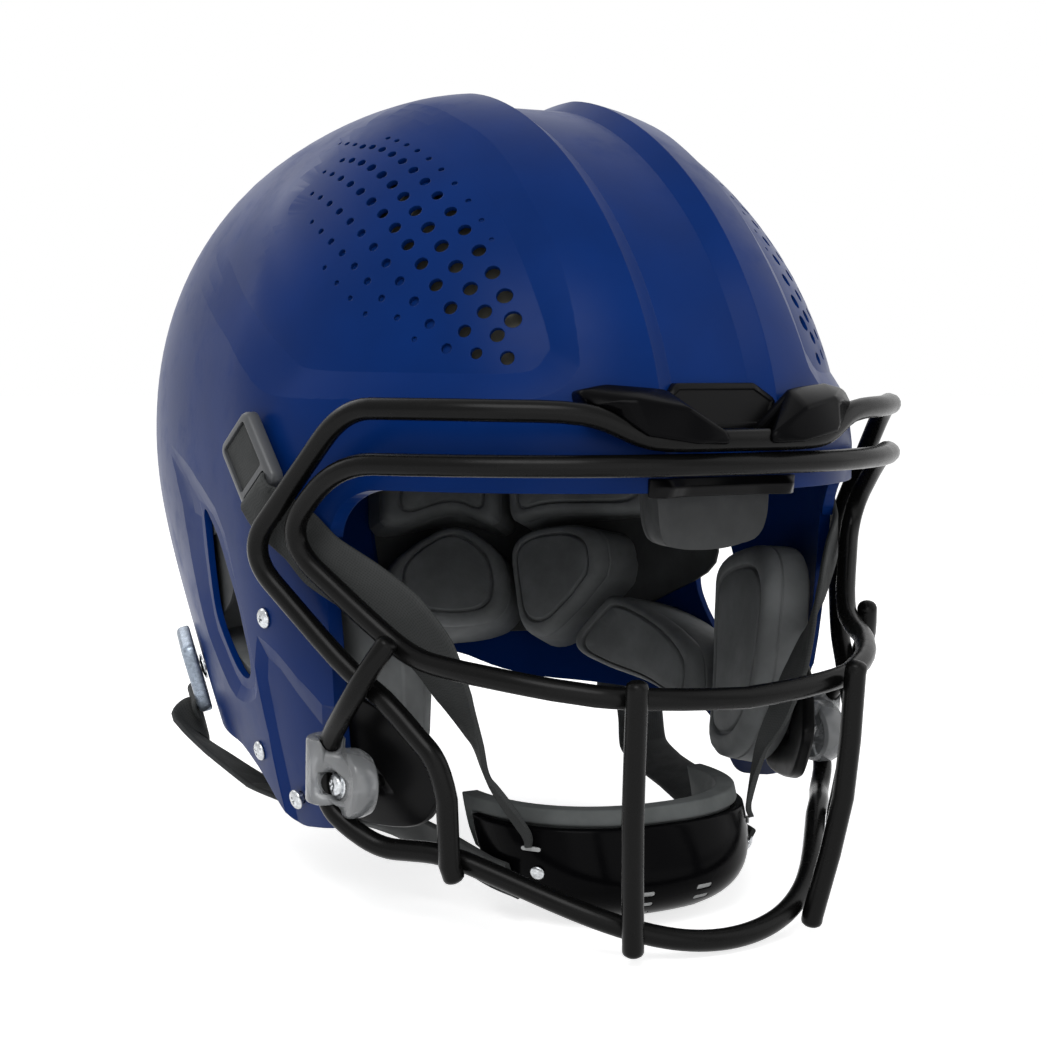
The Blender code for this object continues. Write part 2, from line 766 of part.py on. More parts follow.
def surface_patch(name, outline, outer, thickness, edge=0.5, cut=8.0, swell=0.0):
    """A piece under the shell, behind an outline of (angle, height) points."""
    path = bent([Vector((angle, z, 0)) for angle, z in outline], cut, closed=True, step=30.0)
    centre = sum(path, Vector()) / len(path)
    rows = (
        (0.55, 0.0), (0.93, 0.0), (1.0, edge * 0.35), (1.0, 1 - edge), (0.93, 0.95), (0.6, 1.0),
    )
    rings = []
    for scale, share in rows:
        inset = outer + thickness * share
        scale = scale if share < 0.9 else scale * (1 - swell)
        spots = [centre + (point - centre) * scale for point in path]
        rings.append([shell_point(spot.x, spot.y, inset, False) for spot in spots])
    poles = [shell_point(centre.x, centre.y, outer + thickness * share, False) for share in (0.0, 1.0)]
    return ring_solid(name, rings, poles[0], poles[1])


def make_jaw_brackets(hole):
    """Black plates inside the jaw flaps that reach forward to hold the side clips."""
    drawn = ((-58, 80), (-80, 78), (-106, 55), (-93, 36), (-74, 33), (-58, 34))
    outline = []
    for y, z in drawn:
        place = fitted(0, y, z)
        outline.append((angle_at(place.y, place.z), place.z))
    bracket = surface_patch("jaw_bracket", outline, WALL + BRACKET_LIFT, BRACKET_DEPTH, edge=0.3, cut=5.0)
    boolean(bracket, hole)
    paint_pair(mirror_pair(bracket, "jaw_bracket"), BLACK, 0.5)


# ---------------------------------------------------------------- side clips and screws


def side_clip_places():
    """Ends of the side clip's screw axis, from outside inwards, and of its barrel."""
    screw = fitted(101.5, -76, 51.5) - Vector((0, 1.5 * (WIRE_RADIUS - DRAWN_WIRE_RADIUS), 0))
    barrel_low = fitted(103.6, -67.5, 44.5)
    barrel_high = fitted(104, -69.5, 67)
    return screw, barrel_low, barrel_high


def make_side_clips(seat, channel, hole):
    """Clear clips: a barrel round the chin wire and a round tab for the screw."""
    screw, low, high = side_clip_places()
    axis = high - low
    points = circle(low, axis, 6.6) + circle(high, axis, 6.6)
    points += circle(screw, (1, 0, 0), 11.0, 16)
    points += circle(screw - Vector((9.5, 0, 0)), (1, 0, 0), 10.0, 16)
    clip = hull_solid("side_clip", points)
    room = SCREW_HEAD_RADIUS + SCREW_FLANGE + SNAP_CLEARANCE
    pocket = cylinder("side_clip_pocket", screw, screw + Vector((20, 0, 0)), room, 14, CUTTERS)
    boolean(clip, pocket)
    boolean(clip, seat)
    boolean(clip, channel)
    boolean(clip, hole)
    boolean(clip, bracket_room())
    paint_pair(mirror_pair(clip, "side_clip"), SMOKE, 0.15)


def bracket_room():
    """Space under the side clip that the jaw bracket fills, a gap larger."""
    outline = []
    for y, z in ((-40, 100), (-84, 100), (-120, 60), (-110, 20), (-60, 10), (-40, 20)):
        place = fitted(0, y, z)
        outline.append((angle_at(place.y, place.z), place.z))
    room = surface_patch("bracket_room", outline, WALL + 0.7 - GAP, 30.0, edge=0.05, cut=2.0)
    PARTS.objects.unlink(room)
    CUTTERS.objects.link(room)
    hide_cutter(room)
    return room


def make_side_clip_screws():
    screw, _, _ = side_clip_places()
    inner = screw.x - (on_shell(-76, 51.5, WALL + BRACKET_LIFT + BRACKET_DEPTH).x - 1.0)
    flange = SCREW_HEAD_RADIUS + SCREW_FLANGE
    profile = (
        (SCREW_SHANK_RADIUS, -inner), (SCREW_SHANK_RADIUS, GAP), (flange, GAP), (flange, GAP + 0.8),
        (SCREW_HEAD_RADIUS, GAP + 0.9), (SCREW_HEAD_RADIUS, GAP + 2.4), (SCREW_HEAD_RADIUS - 0.8, GAP + 3.0),
    )
    obj = turned("side_clip_screw", screw, (1, 0, 0), profile)
    paint_pair(mirror_pair(obj, "side_clip_screw"), STEEL, 0.3, 1.0)


SHELL_SCREWS = {
    "slot_screw": (-34.0, 103.0),
    "jaw_screw": (-11.0, 52.0),
    "flap_screw": (-35.0, 38.5),
}
SNAPS = {"upper": (-40.0, 157.0), "lower": (66.0, 72.0)}


def shell_hole(name, y, z, radius):
    """Cutters for one hole on each side, square to the shell."""
    spot = on_shell(y, z)
    normal = shell_normal(spot)
    start, end = spot + normal * 6, spot - normal * (WALL + 6)
    pair = []
    for side in (1, -1):
        ends = [Vector((p.x * side, p.y, p.z)) for p in (start, end)]
        pair.append(cylinder(f"{name}_hole_{'left' if side > 0 else 'right'}", *ends, radius, 10, CUTTERS))
    return pair


def make_shell_screws():
    for name, (y, z) in SHELL_SCREWS.items():
        spot = on_shell(y, z)
        profile = (
            (SCREW_SHANK_RADIUS, -WALL - 1.0), (SCREW_SHANK_RADIUS, GAP), (SCREW_HEAD_RADIUS, GAP),
            (SCREW_HEAD_RADIUS, GAP + 0.7), (SCREW_HEAD_RADIUS - 1.3, GAP + SCREW_HEAD_HEIGHT),
        )
        obj = turned(name, spot, shell_normal(spot), profile, 10)
        paint_pair(mirror_pair(obj, name), STEEL, 0.3, 1.0)


# ---------------------------------------------------------------- snaps and buckles


def snap_frame(name):
    """Where a snap sits: its point on the shell, its outward axis and its strap's direction."""
    spot = on_shell(*SNAPS[name])
    normal = shell_normal(spot)
    run = Vector((0, -0.62, -0.78)) if name == "upper" else Vector((0, 0.3, -0.95))
    run = (run - normal * run.dot(normal)).normalized()
    return spot, normal, run


def make_studs():
    for name in SNAPS:
        spot, normal, _ = snap_frame(name)
        profile = (
            (STUD_NECK_RADIUS - 0.3, -WALL - 1.0), (STUD_NECK_RADIUS - 0.3, GAP), (STUD_BASE_RADIUS, GAP),
            (STUD_BASE_RADIUS, GAP + 0.9), (STUD_NECK_RADIUS, GAP + 1.4), (STUD_NECK_RADIUS, GAP + 2.0),
            (STUD_HEAD_RADIUS, GAP + 2.6), (STUD_HEAD_RADIUS, STUD_HEIGHT - 0.7),
            (STUD_HEAD_RADIUS - 1.2, STUD_HEIGHT),
        )
        obj = turned(name + "_snap_stud", spot, normal, profile)
        paint_pair(mirror_pair(obj, name + "_snap_stud"), STEEL, 0.25, 1.0)


def make_buckle(name):
    """A snap buckle: a plate with a socket that pulls off its stud, and a window for the strap."""
    spot, normal, run = snap_frame(name)
    across = normal.cross(run)
    base = GAP + 1.6
    frame = Matrix((across, run, normal)).transposed().to_4x4()
    frame = Matrix.Translation(spot + normal * base) @ frame
    half, length, corner = BUCKLE_WIDTH / 2, BUCKLE_LENGTH / 2, 3.5
    outline = bent(
        [Vector((sx * half, sy * length, 0)) for sx, sy in ((-1, -1), (1, -1), (1, 1), (-1, 1))],
        corner, closed=True, step=30.0,
    )
    rings = []
    for inset, height in ((0, 0), (0, BUCKLE_THICKNESS - 1.2), (1.2, BUCKLE_THICKNESS)):
        shrink = Matrix.Diagonal((1 - inset / half, 1 - inset / length, 1, 1))
        rings.append([frame @ (shrink @ point + Vector((0, 0, height))) for point in outline])
    plate = ring_solid("buckle", rings)
    socket_depth = STUD_HEIGHT + SNAP_CLEARANCE - base
    socket = cylinder(
        f"{name}_socket", spot - normal * 2, spot + normal * (base + socket_depth),
        STUD_BASE_RADIUS + SNAP_CLEARANCE, 14, CUTTERS,
    )
    boolean(plate, socket)
    for place in (-1, 1):
        low, high = place * (length - 6.6), place * (length - 3.0)
        corners = []
        for u in (-half + 2.5, half - 2.5):
            for v in (low, high):
                for w in (-3.0, BUCKLE_THICKNESS + 3.0):
                    corners.append(frame @ Vector((u, v, w)))
        window = hull_solid(f"{name}_window_{place + 1}", corners, CUTTERS)
        hide_cutter(window)
        boolean(plate, window)
    paint_pair(mirror_pair(plate, name + "_snap_buckle"), STRAP_GREY, 0.4)


# ---------------------------------------------------------------- straps


def ribbon(name, stations, width, thickness, before=None, beyond=None):
    """A flat strap through (point, facing, share of the width) stations.

    before and beyond are the places that the strap comes from and goes on to, so that two
    lengths of one strap meet squarely.
    """
    rings = []
    points = [Vector(point) for point, _, _ in stations]
    route = [before or points[0], *points, beyond or points[-1]]
    for k, (_, facing, share) in enumerate(stations):
        ahead = route[k + 2] - route[k]
        across = ahead.cross(Vector(facing)).normalized()
        out = across.cross(ahead).normalized()
        half = across * width * share / 2
        lift = out * thickness / 2
        corners = (half + lift, lift - half, -half - lift, half - lift)
        rings.append([points[k] + corner for corner in corners])
    return ring_solid(name, rings)


def strap_stations(drawn):
    return [(fitted(*point), facing, share) for point, facing, share in drawn]


def make_straps():
    """Each strap in two lengths, which meet where it passes the shell's edge."""
    upper_spot, upper_normal, upper_run = snap_frame("upper")
    lift = GAP + 1.6 + BUCKLE_THICKNESS + GAP + STRAP_THICKNESS / 2
    over = upper_spot + upper_normal * lift
    facing = tuple(upper_normal)
    middle = on_shell(-62.5, 134.0, -STRAP_THICKNESS / 2 - 1.84)
    middle_facing = (0.87, -0.5, 0)
    bar = BUCKLE_LENGTH / 2 - 6.0  # a strap starts over the buckle's window, just before its end bar
    upper_tail = [
        (over + upper_run * bar, facing, 1.0), (over + upper_run * 17, facing, 1.0),
        (middle, middle_facing, 1.0),
    ]
    front = strap_stations(
        (
            ((106.1, -72.7, 125.8), (0.78, -0.63, 0), 1.0), ((95.5, -82.0, 117.0), (0.76, -0.65, 0), 1.0),
            ((86.0, -90.0, 108.0), (0.82, -0.57, 0), 1.0), ((77.5, -95.0, 96.0), (0.88, -0.45, 0), 1.0),
            ((70.0, -97.0, 81.0), (0.95, -0.2, 0), 1.0), ((62.0, -97.5, 65.0), (0.97, 0.1, 0), 0.8),
            ((56.0, -95.0, 52.0), (0.93, 0.3, 0), 0.5),
        )
    )
    slot = cup_point(CUP_SLOT_SIDE, 0.5, -STRAP_THICKNESS / 2 - 0.6)
    end = cup_point(CUP_SLOT_SIDE, 4, -STRAP_THICKNESS / 2 - 0.6)
    cup_facing = tuple(cup_point(CUP_SLOT_SIDE, 4, -1) - cup_point(CUP_SLOT_SIDE, 4, 0))
    gap = (front[0][0] - upper_tail[-2][0]).normalized() * GAP
    upper = [(middle + gap, middle_facing, 1.0), *front, (slot, cup_facing, 0.4), (end, cup_facing, 0.4)]

    lower_spot, lower_normal, lower_run = snap_frame("lower")
    over = lower_spot + lower_normal * lift
    facing = tuple(lower_normal)
    guide = fitted(86.5, 32, 29.5)
    guide_facing = (0.25, 0.1, -0.96)
    lower_tail = [
        (over + lower_run * bar, facing, 1.0), (over + lower_run * 19, facing, 1.0),
        (fitted(103.5, 66, 47.0), (0.6, 0.1, -0.8), 1.0), (fitted(97.0, 51, 39.0), (0.4, 0.1, -0.9), 1.0),
        (guide, guide_facing, 1.0),
    ]
    tip = cup_point(86, 20, -STRAP_THICKNESS / 2 - 0.6)
    tip_facing = tuple(cup_point(80, 20, -1) - cup_point(80, 20, 0))
    tail_end = cup_point(72, 22, -STRAP_THICKNESS / 2 - 0.6)
    first = fitted(79, 8, 26.5)
    gap = (first - lower_tail[-2][0]).normalized() * GAP
    lower = [
        (guide + gap, guide_facing, 1.0), (first, (0.2, 0, -0.97), 1.0),
        (fitted(73, -18, 25), (0.25, 0, -0.96), 1.0), (fitted(66.5, -42, 24.5), (0.5, 0, -0.85), 1.0),
        (fitted(59.5, -58, 25), (0.85, 0, -0.5), 0.9), (tip, tip_facing, 0.75),
        (tail_end, tip_facing, 0.75),
    ]
    for name, stations, before, beyond in (
        ("upper_strap_tail", upper_tail, None, upper[1][0]),
        ("upper_strap", upper, upper_tail[-2][0], None),
        ("lower_strap_tail", lower_tail, None, lower[1][0]),
        ("lower_strap", lower, lower_tail[-2][0], None),
    ):
        strap = ribbon(name, stations, STRAP_WIDTH, STRAP_THICKNESS, before, beyond)
        paint_pair(mirror_pair(strap, name), STRAP_GREY, 0.8)


# ---------------------------------------------------------------- chin cup


def cup_point(azimuth, elevation, inset=0.0, beyond=0.0):
    """The cup's outside: azimuth from straight ahead to +-90 at the sides, elevation down from the rim.

    beyond raises the rim and moves the ends back, and leaves the front and the bottom in place.
    """
    side, down = math.radians(azimuth), math.radians(elevation)
    level = math.cos(down) ** (2 / CUP_POWER)
    across = math.copysign(abs(math.sin(side)) ** (2 / CUP_PLAN_POWER), side) * level
    ahead = math.cos(side) ** (2 / CUP_PLAN_POWER) * level
    drop = math.sin(down) ** (2 / CUP_POWER)
    centre = fitted(*CUP_CENTRE)
    below = (CUP_DEPTH - inset + beyond) * drop - beyond
    front = CUP_FRONT - inset + beyond
    return Vector(
        (
            centre.x + (CUP_HALF_WIDTH - inset) * across,
            centre.y + beyond - front * ahead - CUP_LEAN * below,
            centre.z - below,
        )
    )


def cup_layer(name, outer, inner, beyond=0.0):
    """A bowl between two insets, open at the top and at the back."""
    azimuths = [-90 + 180 * k / 14 for k in range(15)]
    elevations = [0, 14, 30, 48, 66, 80]
    rows = []
    for inset in (outer, inner):
        rows.append([[cup_point(a, e, inset, beyond) for a in azimuths] for e in elevations])
    bm = bmesh.new()
    grids = [[[bm.verts.new(p) for p in row] for row in layer] for layer in rows]
    bottoms = [bm.verts.new(cup_point(0, 90, inset, beyond)) for inset in (outer, inner)]
    for grid, bottom in zip(grids, bottoms):
        for one, two in zip(grid, grid[1:]):
            for k in range(len(azimuths) - 1):
                bm.faces.new((one[k], one[k + 1], two[k + 1], two[k]))
        for k in range(len(azimuths) - 1):
            bm.faces.new((grid[-1][k], grid[-1][k + 1], bottom))
    border = [list(grid[0]) + [row[-1] for row in grid[1:]] + [bottom] + [row[0] for row in grid[:0:-1]]
              for grid, bottom in zip(grids, bottoms)]
    count = len(border[0])
    for k in range(count):
        after = (k + 1) % count
        bm.faces.new((border[0][k], border[0][after], border[1][after], border[1][k]))
    return add_mesh(name, bm)


def rivet_place(side):
    """A rivet's place on the cup's outside, and the direction out of it."""
    spot = cup_point(side * CUP_SLOT_SIDE, CUP_RIVET_DOWN)
    return spot, (cup_point(side * CUP_SLOT_SIDE, CUP_RIVET_DOWN, -1) - spot).normalized()


def make_chin_cup():
    cup = cup_layer("chin_cup", 0.0, CUP_WALL)
    for side in (-1, 1):
        spot, out = rivet_place(side)
        name = "left" if side > 0 else "right"
        start, end = spot + out * 3, spot - out * (CUP_WALL + 3)
        boolean(cup, cylinder(f"rivet_hole_{name}", start, end, 1.5, 8, CUTTERS))
    paint(cup, BLACK, 0.12)
    pad = cup_layer("chin_cup_pad", CUP_WALL + GAP + 0.2, CUP_WALL + CUP_PAD, CUP_PAD_BEYOND)
    paint(pad, GREY_PAD, 0.9)
    spot, out = rivet_place(1)
    profile = (
        (1.2, -CUP_WALL), (1.2, GAP), (RIVET_RADIUS, GAP), (RIVET_RADIUS, GAP + 0.4),
        (RIVET_RADIUS - 1.2, GAP + 1.2),
    )
    rivet = turned("cup_rivet", spot, out, profile, 10)
    paint_pair(mirror_pair(rivet, "cup_rivet"), STEEL, 0.3, 1.0)


# ---------------------------------------------------------------- pads

# Outlines of the left pads as (angle, height) on the shell
SIDE_PADS = {
    "rear_pad": ((86, 88), (78, 99), (64, 109), (51, 99), (48, 87), (49, 73), (55, 64), (70, 60), (86, 64)),
    "side_rear_pad": ((46.5, 101), (37, 111), (21, 117), (19.5, 100), (23, 88), (38, 62), (45.5, 62)),
    "side_pad": ((18, 88), (8, 84), (-1, 74), (-5, 58), (-4, 46), (7, 54), (20, 55), (32, 60), (21, 84)),
    "upper_rear_pad": ((86, 106), (64, 115), (50, 106), (49, 140), (53, 168), (70, 176), (86, 176)),
    "upper_side_pad": ((46, 108), (36, 117), (16, 123), (4, 128), (4, 162), (20, 174), (46, 172)),
}
JAW_PAD = (
    (-3, 112), (-22, 122), (-33, 112), (-34, 84), (-30, 52), (-20, 34), (-10, 32), (-8, 60), (-5, 80),
)
FRONT_PAD = (
    (-79, 134), (-83, 131), (-90, 130), (-97, 131), (-101, 134), (-102, 156), (-98.5, 166),
    (-81.5, 166), (-78, 156),
)
CROWN_PAD_SPREAD = 38.0
CROWN_PAD_DROP = 0.5


def make_pads():
    """Each pad reaches out to the shell's inside, less the stand-off."""
    room = shell_solid("pad_room", -(WALL + PAD_STAND_OFF), CUTTERS)
    start = WALL
    for name, outline in SIDE_PADS.items():
        pad = surface_patch(name, outline, start, PAD_THICKNESS, swell=0.06)
        boolean(pad, room, "INTERSECT")
        paint_pair(mirror_pair(pad, name), GREY_PAD, 0.85)
    outer = start + BRACKET_LIFT + BRACKET_DEPTH + GAP
    pad = surface_patch("jaw_pad", JAW_PAD, outer, JAW_PAD_THICKNESS - BRACKET_DEPTH, swell=0.06)
    paint_pair(mirror_pair(pad, "jaw_pad"), GREY_PAD, 0.85)
    pad = surface_patch("front_pad", FRONT_PAD, start, FRONT_PAD_THICKNESS, swell=0.03)
    boolean(pad, room, "INTERSECT")
    paint(pad, GREY_PAD, 0.85)
    rings = []
    for spread, share in ((0.5, 0.0), (0.93, 0.0), (1.0, 0.2), (1.0, 0.6), (0.93, 0.95), (0.55, 1.0)):
        level = EQUATOR + RISE * math.cos(math.radians(CROWN_PAD_SPREAD * spread))
        inset = start + (PAD_THICKNESS + BAND_DEPTH) * share
        rings.append([shell_point(360 * k / 16, level, inset, False) for k in range(16)])
    outer_pole = Vector((0, CENTRE_Y, EQUATOR + RISE - start))
    inner_pole = outer_pole - Vector((0, 0, PAD_THICKNESS + BAND_DEPTH))
    pad = ring_solid("crown_pad", rings, outer_pole, inner_pole)
    boolean(pad, room, "INTERSECT")
    pad.data.transform(Matrix.Translation((0, 0, -CROWN_PAD_DROP * MM)))
    paint(pad, GREY_PAD, 0.85)


# ---------------------------------------------------------------- assembly


def main():
    holes = []
    for name, (y, z) in SHELL_SCREWS.items():
        holes += shell_hole(name, y, z, SCREW_HOLE_RADIUS)
    for name, (y, z) in SNAPS.items():
        holes += shell_hole(name + "_snap", y, z, STUD_HOLE)
    make_shell(holes)
    paths = make_mask()
    # The shell's outside, a gap larger: it trims the back of what is fastened on the shell
    seat = shell_solid("shell_seat", GAP, CUTTERS)
    channel = WIRE_RADIUS + CLIP_CLEARANCE
    top_channel = wire_cutter("top_wire_channel", paths["mask_top_wire"], channel)
    chin_channel = wire_cutter("chin_wire_channel", paths["mask_chin_wire"], channel)
    make_brow_plate(seat)
    plate_room = brow_plate_room()
    make_front_clips(seat, top_channel, plate_room)
    make_brow_lip(seat)
    make_rear_bumper(seat)
    screw, _, _ = side_clip_places()
    start, end = screw + Vector((8, 0, 0)), screw - Vector((45, 0, 0))
    screw_hole = cylinder("side_clip_hole", start, end, SCREW_HOLE_RADIUS, 12, CUTTERS)
    make_jaw_brackets(screw_hole)
    make_side_clips(seat, chin_channel, screw_hole)
    make_side_clip_screws()
    make_shell_screws()
    make_studs()
    for name in SNAPS:
        make_buckle(name)
    make_straps()
    make_chin_cup()
    make_pads()


def brow_plate_room():
    """The brow plate, a gap larger, that the clips are trimmed to."""
    plate = bpy.data.objects["brow_plate"]
    mesh = plate.data.copy()
    middle = sum((v.co for v in mesh.vertices), Vector()) / len(mesh.vertices)
    size = max(abs(v.co.x) for v in mesh.vertices)
    grow = 1 + 2 * GAP * MM / size
    larger = Matrix.Diagonal((grow, 1.12, 1.06, 1))
    mesh.transform(Matrix.Translation(middle) @ larger @ Matrix.Translation(-middle))
    room = bpy.data.objects.new("brow_plate_room", mesh)
    CUTTERS.objects.link(room)
    hide_cutter(room)
    return room


main()
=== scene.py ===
"""Looks of an american football helmet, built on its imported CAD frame.

Sizes are in millimetres in the frame of the CAD part, unless a comment says otherwise: the
origin is on the ground under the middle of the helmet, the wearer faces -Y and +X is the
wearer's left. Pieces of both sides are built on the left and mirrored.
"""

import logging
import math
from dataclasses import dataclass, field
from enum import Enum
from typing import Any, Callable, Iterable, Iterator, Mapping, Sequence

import bmesh
import bpy
import numpy as np
from bpy.types import Mesh, NodeSocket, NodeTree, Object
from mathutils import Matrix, Vector


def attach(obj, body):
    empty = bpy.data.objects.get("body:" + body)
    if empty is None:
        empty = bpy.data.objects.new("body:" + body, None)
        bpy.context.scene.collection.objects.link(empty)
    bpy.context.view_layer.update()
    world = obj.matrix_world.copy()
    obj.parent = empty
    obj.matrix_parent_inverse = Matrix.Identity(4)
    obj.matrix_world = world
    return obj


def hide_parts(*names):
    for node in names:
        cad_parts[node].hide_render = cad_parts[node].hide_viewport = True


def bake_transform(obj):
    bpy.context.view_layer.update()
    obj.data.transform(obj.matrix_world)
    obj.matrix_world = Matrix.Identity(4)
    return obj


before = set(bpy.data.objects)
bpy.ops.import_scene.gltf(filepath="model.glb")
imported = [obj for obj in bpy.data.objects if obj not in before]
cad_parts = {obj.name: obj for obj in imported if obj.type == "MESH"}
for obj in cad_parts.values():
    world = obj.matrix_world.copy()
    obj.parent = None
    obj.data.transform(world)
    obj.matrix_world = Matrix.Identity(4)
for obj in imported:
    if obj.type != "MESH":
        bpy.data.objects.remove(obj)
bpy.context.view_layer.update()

LOG = logging.getLogger("helmet")
MM = 0.001  # metres in a millimetre
GAP = 0.3  # clearance between seated pieces
ROOT = "helmet"
CUP = "chin_cup"
UV_UNIT = 100.0  # length that one unit of a strap's UV map stands for
ORIGIN = Vector((0, 0, 0))
UP = Vector((0, 0, 1))
OUT = Vector((1, 0, 0))  # away from the head on the left
SQUARE = ((-1, -1), (1, -1), (1, 1), (-1, 1))
WHITE = (1, 1, 1, 1)

Point = Sequence[float]
Colour = tuple[float, float, float]
Outline = Sequence[tuple[float, float]]
Station = tuple[Point, Point, float]


class Side(Enum):
    """The wearer's side that a piece sits on."""

    LEFT = 1
    RIGHT = -1

    @property
    def word(self) -> str:
        """The side's name as pieces carry it."""
        return self.name.lower()


class Shading(Enum):
    """How the faces of a piece are shaded."""

    FLAT = 0
    SMOOTH = 180
    BY_ANGLE = 32


# ---------------------------------------------------------------- node building


class Socket:
    """A node's output that takes part in Python expressions; each operation adds a Math node."""

    def __init__(self, builder: "NodeBuilder", link: Any) -> None:
        """Wraps a socket.

        Args:
            builder: The builder that new nodes are added with.
            link: The output socket, or None for a node without any.
        """
        self.builder = builder
        self.link = link

    def _math(self, operation: str, *operands: Any) -> "Socket":
        """Adds a Math node for an operation on the operands."""
        return self.builder.node("ShaderNodeMath", {"operation": operation}, dict(enumerate(operands)))

    def __add__(self, other: Any) -> "Socket":
        """Sum of two values."""
        return self._math("ADD", self, other)

    __radd__ = __add__

    def __mul__(self, other: Any) -> "Socket":
        """Product of two values."""
        return self._math("MULTIPLY", self, other)

    __rmul__ = __mul__

    def __sub__(self, other: Any) -> "Socket":
        """Difference of two values."""
        return self._math("SUBTRACT", self, other)

    def __rsub__(self, other: Any) -> "Socket":
        """Difference with the number on the left."""
        return self._math("SUBTRACT", other, self)

    def wave(self) -> "Socket":
        """Sine of the value, in radians."""
        return self._math("SINE", self)

    def size(self) -> "Socket":
        """The value without its sign."""
        return self._math("ABSOLUTE", self)

    def over(self, limit: Any) -> "Socket":
        """1 where the value is above the limit, else 0."""
        return self._math("GREATER_THAN", self, limit)

    def step(self, low: float, high: float) -> "Socket":
        """A smooth rise from 0 at low to 1 at high."""
        inputs = {"Value": self, "From Min": low, "From Max": high}
        return self.builder.node("ShaderNodeMapRange", {"interpolation_type": "SMOOTHSTEP"}, inputs)


class NodeBuilder:
    """Adds nodes to a shader or geometry tree."""

    def __init__(self, tree: NodeTree) -> None:
        """Starts building.

        Args:
            tree: The tree that gets the nodes.
        """
        self.tree = tree

    @classmethod
    def afresh(cls, owner: Any) -> "NodeBuilder":
        """Starts on the emptied tree of a material or a world."""
        owner.use_nodes = True
        owner.node_tree.nodes.clear()
        return cls(owner.node_tree)

    def node(
        self,
        kind: str,
        settings: Mapping[str, Any] | None = None,
        inputs: Mapping[str | int, Any] | None = None,
        output: str | int = 0,
    ) -> Socket:
        """Adds any node.

        Args:
            kind: The node's type.
            settings: Its settings, such as an operation, or stops for a colour ramp.
            inputs: Values, or sockets to link, by input name or number.
            output: The output to hand back.

        Returns:
            The chosen output, ready for expressions.
        """
        made = self.tree.nodes.new(kind)
        for key, value in (settings or {}).items():
            if key == "stops":
                ramp = made.color_ramp
                while len(ramp.elements) > 1:
                    ramp.elements.remove(ramp.elements[-1])
                for number, (place, colour) in enumerate(value):
                    element = ramp.elements[0] if number == 0 else ramp.elements.new(place)
                    element.position = place
                    element.color = (*colour, 1.0)
            else:
                setattr(made, key, value)
        for key, value in (inputs or {}).items():
            target = made.inputs[key]
            source = value.link if isinstance(value, Socket) else value
            if isinstance(source, NodeSocket):
                self.tree.links.new(source, target)
            else:
                target.default_value = source
        return Socket(self, made.outputs[output] if len(made.outputs) else None)

    def outlets(self, kind: str, *names: str) -> list[Socket]:
        """Adds a node without inputs and hands back several of its outputs.

        Args:
            kind: The node's type.
            names: The outputs' names.

        Returns:
            The outputs, ready for expressions.
        """
        made = self.tree.nodes.new(kind)
        return [Socket(self, made.outputs[name]) for name in names]

    def seen(self) -> Socket:
        """1 for rays that reach the eye straight, by gloss or through clear plastic, else 0."""
        rays = self.outlets("ShaderNodeLightPath", "Is Camera Ray", "Is Glossy Ray", "Is Transmission Ray")
        return (rays[0] + rays[1] + rays[2]).over(0.5)

    def mixed(self, factor: Any, first: Any, second: Any) -> Socket:
        """Mixes two colours.

        Args:
            factor: 0 for the first colour, 1 for the second.
            first: A colour of four numbers, or a socket.
            second: A colour of four numbers, or a socket.

        Returns:
            The mixed colour.
        """
        return self.node("ShaderNodeMix", {"data_type": "RGBA"}, {0: factor, 6: first, 7: second}, 2)


# ---------------------------------------------------------------- finishes


